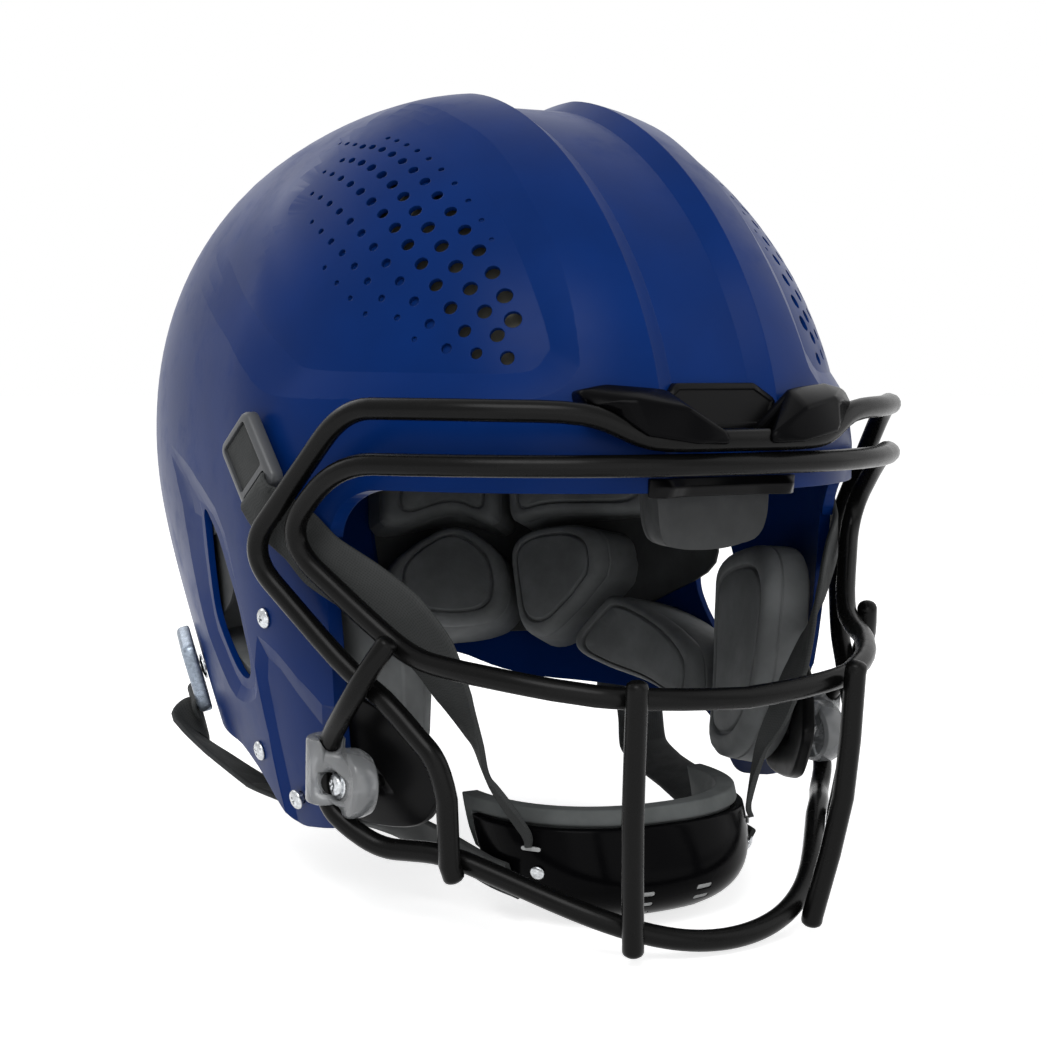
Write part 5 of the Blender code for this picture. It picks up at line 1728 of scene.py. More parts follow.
@dataclass
class SideFittings:
    """The clear clips at the mask's sides and the black brackets behind them."""

    mask: FaceMask
    screw: Vector = field(default_factory=lambda: Vector((101.5, -76, 51.5)))
    low: Vector = field(default_factory=lambda: Vector((103.6, -67.5, 44.5)))
    high: Vector = field(default_factory=lambda: Vector((104, -69.5, 67)))
    bracket: Outline = ((-58, 80), (-80, 78), (-106, 55), (-93, 36), (-74, 33), (-58, 34))

    def hole(self) -> Object:
        """A cutter for the clip's screw."""
        return turned("hole", self.screw, OUT, [(2.3, -45), (2.3, 8)], 20)

    def build_bracket(self) -> None:
        """The bracket inside the jaw flap."""
        deep = FORM.wall + 0.7  # the bracket lies just clear of the wall
        rows = [(0.5, deep), (0.9, deep), (0.975, deep + 0.3), (1.0, deep + 1.2), (1.0, deep + 3.8)]
        rows += [(0.975, deep + 4.7), (0.93, deep + 5.0), (0.5, deep + 5.0)]
        bracket = surface_patch("bracket", FORM.outline(self.bracket), rows, 5.0)
        cut(bracket, self.hole())
        place_pair(bracket, "jaw_bracket", SATIN_BLACK, stands_for=["jaw_bracket"])

    def build_clip(self) -> None:
        """The clear clip: a barrel round the chin wire and a round tab for the screw."""
        axis = self.high - self.low
        long = axis.length
        tab = ((9.6, -9.5), (11, -8.6), (11.6, -6.5), (11.9, -2.2), (11.4, -0.9), (10.4, -0.15), (9.4, 0))
        clip = turned("clip", self.screw, OUT, tab, 48)
        barrel = ((5.4, 0), (6.2, 0.4), (6.6, 1.2), (6.6, long - 1.2), (6.2, long - 0.4), (5.4, long))
        cut(clip, turned("barrel", self.low, axis, barrel, 36), "UNION")
        web = [point for share in (0.18, 0.82) for point in circle(self.low + axis * share, axis, 5.6, 24)]
        web += [point for deep in (1.6, 8.0) for point in circle(self.screw - OUT * deep, OUT, 9.2, 32)]
        cut(clip, rounded(hull("web", web), 0.8, 2, 40), "UNION")
        cut(clip, turned("pocket", self.screw, OUT, [(5.5, 0.0), (5.5, 14), (6.4, 18)], 36))
        cut(clip, FORM.seat())
        cut(clip, self.mask.channel("mask_chin_wire"))
        cut(clip, self.hole())
        room = FORM.outline(((-40, 100), (-84, 100), (-120, 60), (-110, 20), (-60, 10), (-40, 20)))
        cut(clip, surface_patch("room", room, slab(FORM.wall + 0.4, 29.6), 2.0))
        place_pair(clip, "side_clip", SMOKE, stands_for=["side_clip"])

    def build(self) -> None:
        """Makes the fittings of both sides."""
        self.build_bracket()
        self.build_clip()


# ---------------------------------------------------------------- screws, rivets and snaps


@dataclass
class Fasteners:
    """Screws on the shell and rivets in the chin cup."""

    repeat: RepeatTree
    sides: SideFittings
    head: float = 3.6
    flange: float = 5.0
    rivet: float = 2.6
    screws: dict[str, tuple[float, float]] = field(
        default_factory=lambda: {
            "slot_screw": (-34, 103),
            "jaw_screw": (-11, 52),
            "flap_screw": (-35, 38.5),
        }
    )

    def crossed(self, screw: Object, half: tuple[float, float], levels: tuple[float, float]) -> Object:
        """Cuts a cross recess in a screw of unit width.

        Args:
            screw: The screw.
            half: Half the length and half the width of a groove.
            levels: Where the grooves start, above the head, and end.

        Returns:
            The same screw.
        """
        long, wide = half
        top, floor = levels
        taper = 0.45  # length of a groove's floor, as a share of its mouth
        for turn in (0, 90):
            wing = []
            spin = Matrix.Rotation(math.radians(turn), 3, "Z")
            for x in (-long, long):
                for y in (-wide, wide):
                    wing += [spin @ Vector((x, y, top)), spin @ Vector((x * taper, y, floor))]
            cut(screw, hull("wing", wing))
        return screw

    def screw_master(self) -> Object:
        """A round-headed screw with a cross recess, of unit width."""
        profile = (
            (0.53, -5.6), (0.53, 0.3), (1.0, 0.3), (1.0, 0.75), (0.93, 1.2), (0.78, 1.65), (0.5, 1.98),
            (0.2, 2.1),
        )
        screw = self.crossed(turned("screw_master", ORIGIN, UP, profile, 28), (0.5, 0.11), (3.0, 1.0))
        shade(screw.data, Shading.BY_ANGLE)
        return screw

    def washer_master(self) -> Object:
        """A screw with a wide flange, of unit width."""
        profile = (
            (0.38, -5.6), (0.38, 0.3), (1.0, 0.3), (1.0, 0.9), (0.95, 1.05), (0.74, 1.15), (0.74, 2.3),
            (0.66, 2.9), (0.4, 3.25), (0.15, 3.3),
        )
        return self.crossed(turned("washer_master", ORIGIN, UP, profile, 30), (0.46, 0.09), (4.2, 2.0))

    def rivet_master(self) -> Object:
        """A domed rivet of unit width."""
        profile = (
            (0.46, -2.6), (0.46, 0.3), (1.0, 0.3), (1.0, 0.5), (0.9, 0.8), (0.68, 1.1), (0.35, 1.32),
            (0.1, 1.36),
        )
        return turned("rivet_master", ORIGIN, UP, profile, 24)

    def set_out(
        self, name: str, master: Object, left: Sequence[Station], body: str, stems: Sequence[str]
    ) -> None:
        """Puts a master on places of the left and on their mirrored ones.

        Args:
            name: The name of the piece with all the copies.
            master: The piece to repeat.
            left: Place, axis and width of each left copy.
            body: The body they move with.
            stems: Stems of the CAD nodes that they stand for.
        """
        spots = []
        for place, axis, wide in left:
            spots += [(flipped(place, sign), flipped(axis, sign), wide) for sign in (1, -1)]
        made = self.repeat.spread(name, spots, master, STEEL)
        place_piece(made, None, body, [f"{stem}_{side.word}" for stem in stems for side in Side])

    def build(self, cup: "ChinCup") -> None:
        """Makes the screws and rivets.

        Args:
            cup: The chin cup that the rivets sit in.
        """
        left = [(*FORM.mount(*place), self.head) for place in self.screws.values()]
        self.set_out("shell_screws_look", self.screw_master(), left, ROOT, list(self.screws))
        left = [(self.sides.screw, OUT, self.flange)]
        self.set_out("side_clip_screws_look", self.washer_master(), left, ROOT, ["side_clip_screw"])
        left = [(*cup.rivet(), self.rivet)]
        self.set_out("cup_rivets_look", self.rivet_master(), left, CUP, ["cup_rivet"])


@dataclass
class Snaps:
    """The studs on the shell and the buckles that snap on them."""

    places: dict[str, tuple[float, float]] = field(
        default_factory=lambda: {"upper": (-40, 157), "lower": (66, 72)}
    )
    runs: dict[str, Vector] = field(
        default_factory=lambda: {"upper": Vector((0, -0.62, -0.78)), "lower": Vector((0, 0.3, -0.95))}
    )
    finishes: dict[str, Finish] = field(
        default_factory=lambda: {"upper": BUCKLE_GREY, "lower": BUCKLE_STEEL}
    )
    length: float = 30.0
    width: float = 23.0
    thick: float = 5.4
    base: float = 1.9

    def frame(self, name: str) -> tuple[Vector, Vector, Vector]:
        """A snap's point on the shell, its outward axis and its strap's direction."""
        spot, axis = FORM.mount(*self.places[name])
        run = self.runs[name]
        return spot, axis, (run - axis * run.dot(axis)).normalized()

    def build_stud(self, name: str) -> None:
        """A stud with a flange on the shell and a grooved head."""
        spot, axis, _ = self.frame(name)
        profile = (
            (2.1, -5.6), (2.1, 0.3), (5.0, 0.3), (5.0, 0.8), (4.7, 1.15), (2.4, 1.7), (2.4, 2.3),
            (3.3, 2.75), (3.6, 3.1), (3.6, 3.8), (3.2, 4.25), (2.4, 4.6),
        )
        stud = turned(f"{name}_stud", spot, axis, profile, 32)
        place_pair(stud, f"{name}_snap_stud", STEEL, stands_for=[f"{name}_snap_stud"])

    def build_buckle(self, name: str) -> None:
        """A rounded slide plate with two windows, a bar between and a snap socket under it."""
        spot, axis, run = self.frame(name)
        across = axis.cross(run)
        axes = Matrix((across, run, axis)).transposed().to_4x4()
        place = Matrix.Translation(spot + axis * self.base) @ axes
        half, length = self.width / 2, self.length / 2
        corners = [Vector((u * half, v * length, 0)) for u, v in SQUARE]
        outline = bent(corners, 4.0, closed=True, step=10.0)
        rings = []
        edge = ((0.8, 0), (0.2, 0.3), (0, 0.9), (0, 3.6), (0.4, 4.6), (1.2, 5.2), (2.2, self.thick))
        for inset, height in edge:
            shrink = Matrix.Diagonal((1 - inset / half, 1 - inset / length, 1, 1))
            rings.append([place @ (shrink @ point + UP * height) for point in outline])
        plate = loft("buckle", rings)
        cut(plate, turned("socket", spot, axis, [(5.4, -2), (5.4, 5.0)], 32))
        side, end = 2.9, 3.0  # width of the plate's border beside and beyond the windows
        for low, high, floor in ((end - length, length - 8.6, 3.3), (length - 6.6, length - end, -3.0)):
            corners = ((-1, low), (1, low), (1, high), (-1, high))
            box = [Vector((u * (half - side), v, 0)) for u, v in corners]
            soft = bent(box, 1.4, closed=True, step=15.0)
            rows = [[place @ (point + UP * w) for point in soft] for w in (floor, self.thick + 3.0)]
            cut(plate, loft("window", rows))
        shade(plate.data, Shading.BY_ANGLE)
        wide = half - 3.4
        low, edge, high, slope = 3.4, 4.3, 4.6, 0.6  # the web's section: its heights and its bevel
        right = ((wide, low), (wide, edge), (wide - slope, high))
        section = ((-wide, low), *right, (slope - wide, high), (-wide, edge))
        rows = [[place @ Vector((u, v, w)) for u, w in section] for v in (3.6 - length, -3.0, 5.8)]
        web = loft("web", rows, uv="strap")

        def body(side: Side) -> str:
            """The buckle's body on a side."""
            return f"{name}_buckle_{side.word}"

        place_pair(web, f"{name}_buckle_web", STRAP_WEB, body)
        stem = f"{name}_snap_buckle"
        place_pair(plate, stem, self.finishes[name], body, [stem])

    def build(self) -> None:
        """Makes the studs and buckles of both sides."""
        for name in self.places:
            self.build_stud(name)
            self.build_buckle(name)


# ---------------------------------------------------------------- chin cup and straps


@dataclass
class ChinCup:
    """The hard chin cup and its liner."""

    centre: Vector = field(default_factory=lambda: Vector((0, -72.6, 35.5)))
    half_width: float = 51.0
    reach: float = 48.0
    depth: float = 34.3
    plan_power: float = 2.3
    power: float = 3.0
    lean: float = 0.4
    wall: float = 3.0
    liner: float = 6.0
    beyond: float = 6.0
    slot_side: float = 58.0
    rivet_down: float = 16.0
    vent_levels: tuple[float, ...] = (31.0, 41.0, 54.0)

    def at(self, azimuth: float, elevation: float, inset: float = 0.0, beyond: float = 0.0) -> Vector:
        """A point of the cup's outside, or under it.

        Args:
            azimuth: Degrees round from straight ahead.
            elevation: Degrees down from the rim.
            inset: How deep under the outside.
            beyond: How far the rim is raised and the ends moved back.

        Returns:
            The point.
        """
        side, down = math.radians(azimuth), math.radians(elevation)
        level = max(0.0, math.cos(down)) ** (2 / self.power)
        across = math.copysign(abs(math.sin(side)) ** (2 / self.plan_power), side) * level
        ahead = max(0.0, math.cos(side)) ** (2 / self.plan_power) * level
        below = (self.depth - inset + beyond) * math.sin(down) ** (2 / self.power) - beyond
        reach = self.reach - inset + beyond
        return Vector(
            (
                self.centre.x + (self.half_width - inset) * across,
                self.centre.y + beyond - reach * ahead - self.lean * below,
                self.centre.z - below,
            )
        )

    def rivet(self) -> tuple[Vector, Vector]:
        """The left rivet's place and axis."""
        place = (self.slot_side, self.rivet_down)
        return self.at(*place), self.out_at(*place).normalized()

    def out_at(self, azimuth: float, elevation: float) -> Vector:
        """The way out of the cup at a point of its outside."""
        return self.at(azimuth, elevation, -1) - self.at(azimuth, elevation)

    def pad_inset(self, azimuth: float, elevation: float, inset: float) -> float:
        """The pad's outer inset, less where it folds out over the cup's rim and ends."""
        spot = self.at(azimuth, elevation, inset, self.beyond)
        free = max(spot.z - self.centre.z, spot.y - self.centre.y) - 0.4
        return inset - min(1.0, max(0.0, free / 0.8)) * (inset - 0.5)

    def bowl(
        self, name: str, outer: float, inner: float, beyond: float = 0.0, crowned: float = 0.0
    ) -> Object:
        """A bowl between two insets, open at the top and at the back.

        Args:
            name: The object's name.
            outer: The outer inset.
            inner: The inner inset.
            beyond: How far it stands out past the cup's rim and ends.
            crowned: How far its inside swells, in millimetres.

        Returns:
            The bowl, with rounded edges.
        """
        # Lines lie closer together near the rim and the ends, where the edges are rounded.
        azimuths = [-90, -88.5, -86.5, *(-84 + 168 * k / 44 for k in range(45)), 86.5, 88.5, 90]
        elevations = [0, 0.5, 1.2, 2.0, 2.8, 3.6, 4.4, 6.0, *(9 + 71 * k / 17 for k in range(18))]
        bm = bmesh.new()
        grids, bottoms = [], []
        for inset in (outer, inner):
            grid = []
            for e in elevations:
                row = []
                for a in azimuths:
                    depth = inset
                    if crowned and inset == inner:
                        edge = min(1.0, (90 - abs(a)) / 12.0, e / 9.0)
                        depth += crowned * (math.sin(math.pi / 2 * edge) - 1.0)
                    elif crowned:
                        depth = self.pad_inset(a, e, inset)
                    row.append(bm.verts.new(self.at(a, e, depth, beyond)))
                grid.append(row)
            grids.append(grid)
            bottoms.append(bm.verts.new(self.at(0, 90, inset, beyond)))
        for grid, bottom in zip(grids, bottoms):
            for one, two in zip(grid, grid[1:]):
                for k in range(len(azimuths) - 1):
                    bm.faces.new((one[k], one[k + 1], two[k + 1], two[k]))
            for k in range(len(azimuths) - 1):
                bm.faces.new((grid[-1][k], grid[-1][k + 1], bottom))
        borders = []
        for grid, bottom in zip(grids, bottoms):
            ends = [row[-1] for row in grid[1:]], [row[0] for row in grid[:0:-1]]
            borders.append([*grid[0], *ends[0], bottom, *ends[1]])
        outside, inside = borders
        for k in range(len(outside)):
            after = (k + 1) % len(outside)
            bm.faces.new((outside[k], outside[after], inside[after], inside[k]))
        return rounded(mesh_object(name, bm), 1.4 if crowned else 0.6, 3, 50)

    def slot(
        self,
        name: str,
        azimuth: float,
        elevation: float,
        size: tuple[float, float],
        levels: tuple[float, float],
    ) -> Object:
        """A rounded slab on the cup's outside.

        Args:
            name: The object's name.
            azimuth: Degrees round from straight ahead.
            elevation: Degrees down from the rim.
            size: Half its length and half its height.
            levels: Where it starts and ends, measured out from the outside.

        Returns:
            The slab.
        """
        spot = self.at(azimuth, elevation)
        out = self.out_at(azimuth, elevation).normalized()
        along = (self.at(azimuth + 2, elevation) - spot).normalized()
        down = out.cross(along).normalized()
        long, high = size
        corners = [along * (u * long) + down * (v * high) for u, v in SQUARE]
        soft = bent(corners, 0.9, closed=True, step=15.0)
        return loft(name, [[spot + point + out * level for point in soft] for level in levels])

    def build(self) -> None:
        """Makes the cup, its liner, and the pale screens in its vents and lips at its strap slots."""
        cup = self.bowl("chin_cup_look", 0.0, self.wall)
        screens = []
        for side in (-1, 1):
            for elevation in self.vent_levels:
                azimuth = side * (9 + elevation * 0.1)
                cut(cup, self.slot("vent", azimuth, elevation, (3.4, 1.0), (-1.0, 3.0)))
                screens.append(self.slot("screen", azimuth, elevation, (3.3, 0.9), (-0.9, -0.3)))
            screens.append(self.slot("loop", side * self.slot_side, 5.0, (3.6, 0.7), (0.1, 0.6)))
        spot, out = self.rivet()
        cut_both(cup, turned("hole", spot, out, [(1.5, -5), (1.5, 3)], 16))
        shade(cup.data, Shading.BY_ANGLE)
        place_piece(cup, GLOSS_BLACK, CUP, ["chin_cup"])
        place_piece(merged("vent_screens_look", screens), SCREEN, CUP)
        insets = (self.wall + GAP + 0.2, self.wall + self.liner)
        pad = self.bowl("chin_cup_pad_look", *insets, self.beyond, 2.0)
        shade(pad.data, Shading.SMOOTH)
        place_piece(pad, LINER, CUP, ["chin_cup_pad"])


@dataclass
class ChinStraps:
    """The four straps, each in two lengths that meet where it passes the shell's edge."""

    snaps: Snaps
    cup: ChinCup
    width: float = 20.0
    thick: float = 2.2
    tightness: float = 0.35

    def ribbon(
        self, name: str, stations: Sequence[Station], before: Vector | None, beyond: Vector | None
    ) -> Object:
        """A strap with rounded edges along a smooth line.

        Args:
            name: The object's name.
            stations: (place, facing, share of the width) along the strap.
            before: Where the strap comes from, if another length leads up to it.
            beyond: Where it goes on to, if another length follows.

        Returns:
            The strap.
        """
        places = [Vector(place) for place, _, _ in stations]
        route = [before or places[0] * 2 - places[1], *places, beyond or places[-1] * 2 - places[-2]]
        pieces = 8
        rows = []
        for k in range(len(places) - 1):
            a, b, c, d = route[k : k + 4]
            for j in range(pieces + (k == len(places) - 2)):
                t = j / pieces
                # The line is pulled towards the chord, as a webbing that is held tight would be.
                spot = curve(a, b, c, d, t).lerp(b.lerp(c, t), self.tightness)
                facing = Vector(stations[k][1]).lerp(Vector(stations[k + 1][1]), t)
                share = stations[k][2] * (1 - t) + stations[k + 1][2] * t
                rows.append((spot, facing, share))
        rings = []
        # The section from edge to edge: share across, and half thickness above and below.
        section = ((-1.0, 0.0), (-0.97, 0.55), (-0.9, 0.9), (-0.72, 1.0), (-0.4, 1.0), (0.0, 1.0))
        section += tuple((-u, rise) for u, rise in reversed(section[:-1]))
        top = [(u, rise * (0.82 if abs(u) < 0.8 else 1.0)) for u, rise in section]
        corners = [*top, *((u, -rise) for u, rise in reversed(top[1:-1]))]
        for k, (spot, facing, share) in enumerate(rows):
            ahead = rows[min(k + 1, len(rows) - 1)][0] - rows[max(k - 1, 0)][0]
            across = ahead.cross(facing).normalized()
            out = across.cross(ahead).normalized()
            wide, thick = self.width * share / 2, self.thick / 2
            rings.append([spot + across * (wide * u) + out * (thick * rise) for u, rise in corners])
        return loft(name, rings, uv="strap")

    def threaded(self, spot: Vector, axis: Vector, run: Vector) -> list[Station]:
        """Stations that bring a strap up through a buckle's window and over its end bar."""
        top = self.snaps.base + self.snaps.thick + GAP + self.thick / 2
        middle = self.snaps.length / 2 - 4.8
        return [
            (spot + axis * 3.2 + run * middle, tuple(-run), 0.88),
            (spot + axis * (top - 1.2) + run * (middle + 0.2), tuple(axis - run), 0.88),
            (spot + axis * top + run * (middle + 2.6), tuple(axis), 0.94),
        ]

    def lengths(self) -> dict[str, tuple[list[Station], Vector | None, Vector | None]]:
        """Stations of the four left lengths, with where each comes from and goes to."""
        spot, axis, run = self.snaps.frame("upper")
        lift = self.snaps.base + self.snaps.thick + GAP + self.thick / 2
        over, facing = spot + axis * lift, tuple(axis)
        middle = FORM.on_left(-62.5, 134.0, -self.thick / 2 - 1.84)
        middle_facing = (0.87, -0.5, 0)
        upper_tail = self.threaded(spot, axis, run)
        upper_tail += [(over + run * 18.5 - axis * 2.0, facing, 1.0), (middle, middle_facing, 1.0)]
        front = [
            ((106.1, -72.7, 125.8), (0.78, -0.63, 0), 1.0), ((95.5, -82.0, 117.0), (0.76, -0.65, 0), 1.0),
            ((86.0, -90.0, 108.0), (0.82, -0.57, 0), 1.0), ((77.5, -95.0, 96.0), (0.88, -0.45, 0), 1.0),
            ((70.0, -97.0, 81.0), (0.95, -0.2, 0), 0.92), ((62.0, -97.5, 65.0), (0.97, 0.1, 0), 0.55),
            ((56.0, -95.0, 52.0), (0.93, 0.3, 0), 0.26),
        ]
        outside = -self.thick / 2 - 0.6  # the strap's middle line, clear of the cup
        slot, end = (self.cup.at(self.cup.slot_side, down, outside) for down in (0.5, 4))
        cup_facing = tuple(self.cup.out_at(self.cup.slot_side, 4))
        gap = (Vector(front[0][0]) - upper_tail[-2][0]).normalized() * GAP
        upper = [(middle + gap, middle_facing, 1.0), *front]
        upper += [(slot, cup_facing, 0.17), (end, cup_facing, 0.1)]
        spot, axis, run = self.snaps.frame("lower")
        over, facing = spot + axis * lift, tuple(axis)
        guide, guide_facing = Vector((86.5, 32, 29.5)), (0.25, 0.1, -0.96)
        lower_tail = [
            *self.threaded(spot, axis, run), (over + run * 20 - axis * 1.5, facing, 1.0),
            ((103.5, 66, 47.0), (0.6, 0.1, -0.8), 1.0), ((97.0, 51, 39.0), (0.4, 0.1, -0.9), 1.0),
            (guide, guide_facing, 1.0),
        ]
        tip, tail_end = self.cup.at(86, 20, outside), self.cup.at(72, 22, outside)
        tip_facing = tuple(self.cup.out_at(80, 20))
        first = Vector((79, 8, 26.5))
        gap = (first - Vector(lower_tail[-2][0])).normalized() * GAP
        lower = [
            (guide + gap, guide_facing, 1.0), (first, (0.2, 0, -0.97), 1.0),
            ((73, -18, 25), (0.25, 0, -0.96), 1.0), ((66.5, -42, 24.5), (0.5, 0, -0.85), 1.0),
            ((59.5, -58, 25), (0.85, 0, -0.5), 0.9), (tip, tip_facing, 0.75), (tail_end, tip_facing, 0.75),
        ]
        return {
            "upper_strap_tail": (upper_tail, None, Vector(upper[1][0])),
            "upper_strap": (upper, Vector(upper_tail[-2][0]), None),
            "lower_strap_tail": (lower_tail, None, Vector(lower[1][0])),
            "lower_strap": (lower, Vector(lower_tail[-2][0]), None),
        }

    def build(self) -> None:
        """Makes the straps of both sides, in place of their CAD nodes."""
        for stem, (stations, before, beyond) in self.lengths().items():
            strap = self.ribbon(stem, stations, before, beyond)
            dressed(strap, STRAP_WEB)
            strap.name = f"{stem}_left_look"
            for side, piece in zip(Side, (strap, twin(strap, f"{stem}_right_look"))):
                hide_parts(f"{stem}_{side.word}")
                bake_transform(piece)


# ---------------------------------------------------------------- pads


@dataclass
class Pads:
    """The moulded pads inside the shell."""

    thick: float = 29.0
    stand_off: float = 0.9
    jaw_thick: float = 19.0
    jaw_gap: float = 6.0
    front_thick: float = 23.4
    backing_thick: float = 1.1
    foam_gap: float = 3.0
    foam_thick: float = 2.0
    corner: float = 9.0
    swell: float = 0.6
    outlines: dict[str, Outline] = field(
        default_factory=lambda: {
            "rear_pad": (
                (86, 88), (78, 99), (64, 109), (51, 99), (48, 87), (49, 73), (55, 64), (70, 60), (86, 64),
            ),
            "side_rear_pad": (
                (46.5, 101), (37, 111), (21, 117), (19.5, 100), (23, 88), (38, 62), (45.5, 62),
            ),
            "side_pad": (
                (18, 88), (8, 84), (-1, 74), (-5, 58), (-4, 46), (7, 54), (20, 55), (32, 60), (21, 84),
            ),
            "upper_rear_pad": ((86, 106), (64, 115), (50, 106), (49, 140), (53, 168), (70, 176), (86, 176)),
            "upper_side_pad": ((46, 108), (36, 117), (16, 123), (4, 128), (4, 162), (20, 174), (46, 172)),
            "jaw_pad": (
                (-3, 112), (-22, 122), (-33, 112), (-34, 84), (-30, 52), (-20, 34), (-10, 32), (-8, 60),
                (-5, 80),
            ),
        }
    )
    front: Outline = (
        (-79, 134), (-83, 131), (-90, 130), (-97, 131), (-101, 134), (-102, 156), (-98.5, 166),
        (-81.5, 166), (-78, 156),
    )
    backing: Outline = ((4, 176), (4, 104), (14, 92), (30, 72), (60, 66), (88, 68), (88, 176))
    vent_foam: Outline = (
        (-124, 190), (-100, 188), (-70, 200), (-45, 215), (-20, 238), (-10, 262), (-20, 273), (-62, 269),
        (-96, 245), (-118, 216),
    )

    @property
    def deep(self) -> float:
        """How far under the shell's outside the pads' own backs are."""
        return FORM.wall + self.stand_off

    def profile(self, start: float, thick: float) -> Outline:
        """Rings of a pod: straight sides with a welt, a round rim and a crowned face."""
        inner = start + thick
        rows = [(0.5, start), (0.8, start), (0.96, start), (0.99, start + 0.6), (1.0, start + 2.0)]
        rows += [(1.0, start + thick * 0.35), (1.0, inner - 8.6), (0.985, inner - 8.0), (1.0, inner - 7.4)]
        for turn in range(10, 91, 10):
            angle = math.radians(turn)
            rows.append((1.0 - 0.14 * (1 - math.cos(angle)), inner - 7.0 + 6.0 * math.sin(angle)))
        face = ((0.83, -0.9), (0.815, -1.2), (0.8, -2.4), (0.78, -2.4), (0.765, -1.0), (0.74, -0.4))
        face += ((0.55, 0.1), (0.4, 0.4), (0.2, self.swell))
        return rows + [(share, inner + swell) for share, swell in face]

    def finish(self, pad: Object, drop_by: float = 0.0) -> None:
        """Trims a pad to the shell's inside, moved down by a margin, and smooths it."""
        room = FORM.seat(-self.deep)
        room.data.transform(Matrix.Translation((0, 0, -drop_by * MM)))
        cut(pad, room, "INTERSECT")
        shade(pad.data, Shading.BY_ANGLE)

    def build(self) -> None:
        """Makes every pad."""
        for stem, outline in self.outlines.items():
            jaw = stem == "jaw_pad"
            start = FORM.wall + (self.jaw_gap if jaw else 0.0)
            thick = self.jaw_thick if jaw else self.thick
            pad = surface_patch(stem, outline, self.profile(start, thick - self.swell), self.corner)
            if not jaw:
                self.finish(pad)
            for piece in place_pair(pad, stem, SKIN, stands_for=[stem]):
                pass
        sheet = surface_patch("pad_backing", self.backing, slab(self.deep, self.backing_thick), 8.0)
        place_pair(sheet, "pad_backing", DARK_SKIN)
        rows = slab(self.deep + self.foam_gap, self.foam_thick)
        sheet = surface_patch("vent_foam", FORM.outline(self.vent_foam), rows, 6.0)
        place_pair(sheet, "vent_foam", FOAM)
        rows = self.profile(FORM.wall, self.front_thick)
        pad = surface_patch("front_pad_look", self.front, rows, self.corner)
        self.finish(pad)
        # The front pad's darker skin is painted shade, standing in for the shadow under the brow.
        place_piece(pad, DARK_SKIN, stands_for=["front_pad"])
        self.build_crown()

    def build_crown(self) -> None:
        """The round pad under the crown, made of rings by spread and share of its depth."""
        deep = self.thick + FORM.band_depth
        spread_angle, margin = 38.0, 0.5
        rows = [(0.3, 0.0), (0.93, 0.0), (0.99, 0.04), (1.0, 0.1), (1.0, 0.6)]
        for angle in map(math.radians, range(15, 91, 15)):
            rows.append((1 - 0.15 * (1 - math.cos(angle)), 0.6 + 0.36 * math.sin(angle)))
        rows += [(0.8, 0.955), (0.76, 0.93), (0.72, 0.955), (0.6, 0.97), (0.3, 0.98)]
        rings = []
        angles = np.arange(0, 360, 5.0)
        for spread, share in rows:
            level = FORM.equator + FORM.rise * math.cos(math.radians(spread_angle * spread))
            ring = FORM.at(angles, np.full(len(angles), level), FORM.wall + deep * share, False)
            ring[:, 2] -= margin
            rings.append([tuple(point) for point in ring])
        top = FORM.equator + FORM.rise - FORM.wall - margin
        poles = tuple((0, FORM.centre_y, z) for z in (top, top - deep * rows[-1][1]))
        pad = loft("crown_pad_look", rings, poles)
        self.finish(pad, margin)
        place_piece(pad, SKIN, stands_for=["crown_pad"])


# ---------------------------------------------------------------- studio


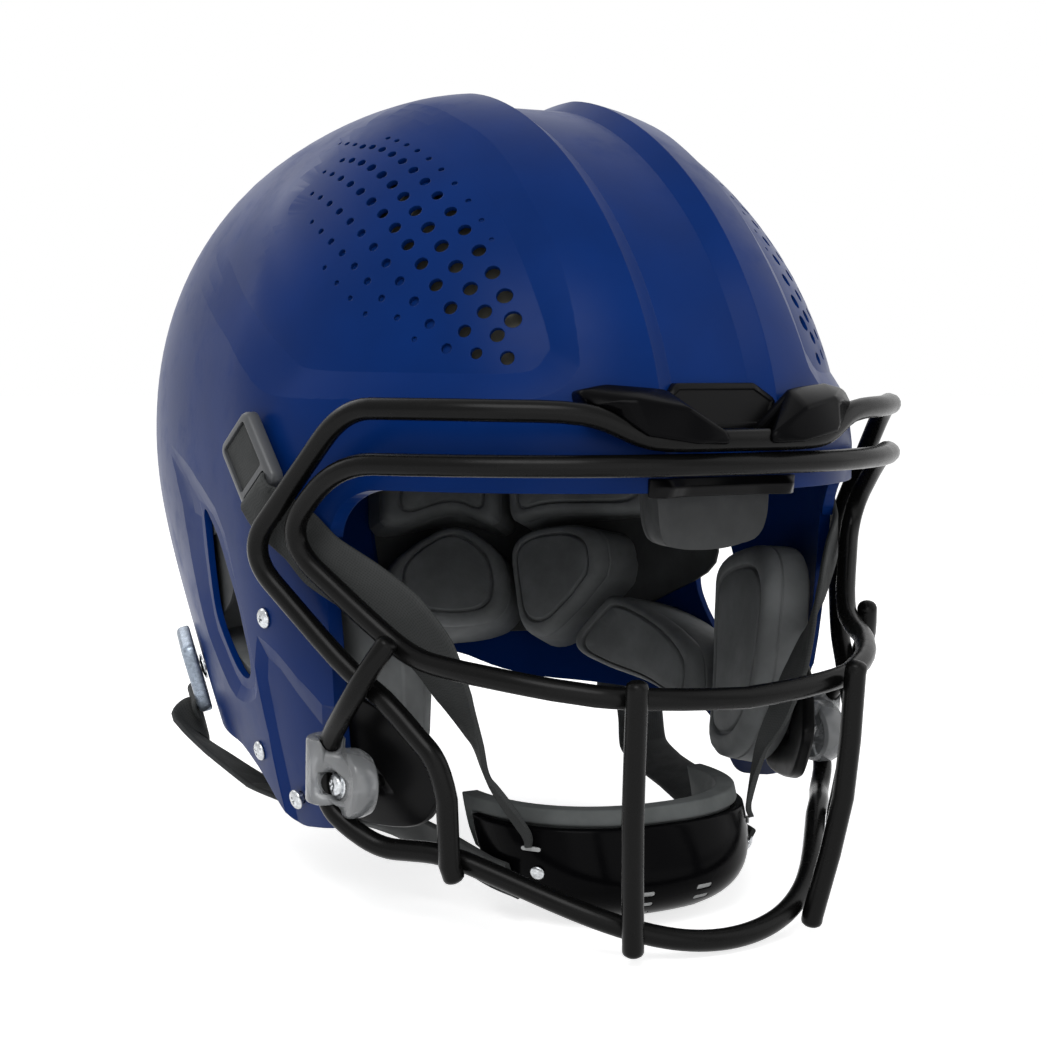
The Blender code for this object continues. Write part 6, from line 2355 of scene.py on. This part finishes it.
@dataclass
class Studio:
    """Camera, lights, world and floor."""

    eye: Vector = field(default_factory=lambda: Vector((-361.76, -667.77, 189.82)))
    look: Vector = field(default_factory=lambda: Vector((0.48512, 0.87081, -0.07971)))
    right: Vector = field(default_factory=lambda: Vector((0.87359, -0.48667, 0)))
    up: Vector = field(default_factory=lambda: Vector((0.03879, 0.06964, 0.99682)))
    lit: Vector = field(default_factory=lambda: UP * 140)
    lens: float = 67.6
    sensor: float = 36.0
    world: float = 0.38
    floor_radius: float = 12000.0
    floor_glow: float = 0.75
    # Name, place, width and height in metres, and power in watts.
    lamps: tuple[tuple[str, Point, tuple[float, float], float], ...] = (
        ("key", (-700, -900, 1300), (0.8, 0.8), 12),
        ("fill", (1100, -700, 700), (1.2, 1.2), 4),
        ("front", (-300, -1050, 120), (1.2, 1.2), 4),
        ("back", (-500, 1000, 1100), (1.2, 0.8), 5),
    )

    def camera(self) -> None:
        """Puts up the camera."""
        data = bpy.data.cameras.new("camera")
        data.lens = self.lens
        data.sensor_width = self.sensor
        data.clip_start, data.clip_end = 0.01, 50.0
        made = added("camera", data)
        axes = Matrix((self.right.normalized(), self.up.normalized(), -self.look.normalized())).transposed()
        made.matrix_world = Matrix.Translation(self.eye * MM) @ axes.to_4x4()
        bpy.context.scene.camera = made

    def lamp(self, name: str, place: Point, size: tuple[float, float], power: float) -> None:
        """Puts up a soft box aimed at the helmet.

        Args:
            name: The light's name.
            place: Where it stands, in millimetres.
            size: Its width and height, in metres.
            power: Its power, in watts.
        """
        data = bpy.data.lights.new(name, "AREA")
        data.shape = "RECTANGLE"
        data.size, data.size_y = size
        data.energy = power
        spot = Vector(place) * MM
        aim = self.lit * MM - spot
        turn = aim.to_track_quat("-Z", "Y").to_matrix().to_4x4()
        added(name, data).matrix_world = Matrix.Translation(spot) @ turn

    def surroundings(self) -> None:
        """Lights the world plainly, and shows it white."""
        world = bpy.data.worlds.new("studio")
        bpy.context.scene.world = world
        nodes = NodeBuilder.afresh(world)
        strength = nodes.seen() * (1 - self.world) + self.world
        sky = nodes.node("ShaderNodeBackground", {}, {"Color": WHITE, "Strength": strength})
        nodes.node("ShaderNodeOutputWorld", {}, {"Surface": sky})

    def floor(self) -> None:
        """Lays a plain pale floor that shows white but keeps the shadow."""
        bm = bmesh.new()
        bmesh.ops.create_circle(bm, cap_ends=True, segments=64, radius=self.floor_radius)
        floor = mesh_object("floor", bm, Shading.FLAT)
        made = bpy.data.materials.new("floor")
        nodes = NodeBuilder.afresh(made)
        inputs = {"Color": WHITE, "Strength": nodes.seen() * self.floor_glow}
        glow = nodes.node("ShaderNodeEmission", {}, inputs)
        place = nodes.node("ShaderNodeTexCoord", output="Object")
        inputs = {"Vector": place, "Scale": 60.0, "Detail": 3.0}
        speckle = nodes.node("ShaderNodeTexNoise", {}, inputs)
        colour = nodes.mixed(speckle, (0.86, 0.86, 0.86, 1), (0.9, 0.9, 0.9, 1))
        matt = nodes.node("ShaderNodeBsdfDiffuse", {}, {"Color": colour})
        both = nodes.node("ShaderNodeAddShader", {}, {0: matt, 1: glow})
        nodes.node("ShaderNodeOutputMaterial", {}, {"Surface": both})
        floor.data.materials.append(made)

    def build(self) -> None:
        """Sets up the studio."""
        self.camera()
        self.surroundings()
        self.floor()
        for lamp in self.lamps:
            self.lamp(*lamp)
        bpy.context.scene.view_settings.view_transform = "Standard"


def main() -> None:
    """Builds the helmet and the studio."""
    logging.basicConfig(level=logging.INFO, format="%(name)s %(message)s")
    repeat = RepeatTree("repeat_on_points")
    mask = FaceMask()
    mask.route()
    sides = SideFittings(mask)
    cup = ChinCup()
    snaps = Snaps()
    Studio().build()
    Shell(repeat).build()
    mask.build()
    BrowFittings(mask).build()
    RearBumper().build()
    sides.build()
    Fasteners(repeat, sides).build(cup)
    snaps.build()
    cup.build()
    ChinStraps(snaps, cup).build()
    Pads().build()


if __name__ == "__main__":
    main()
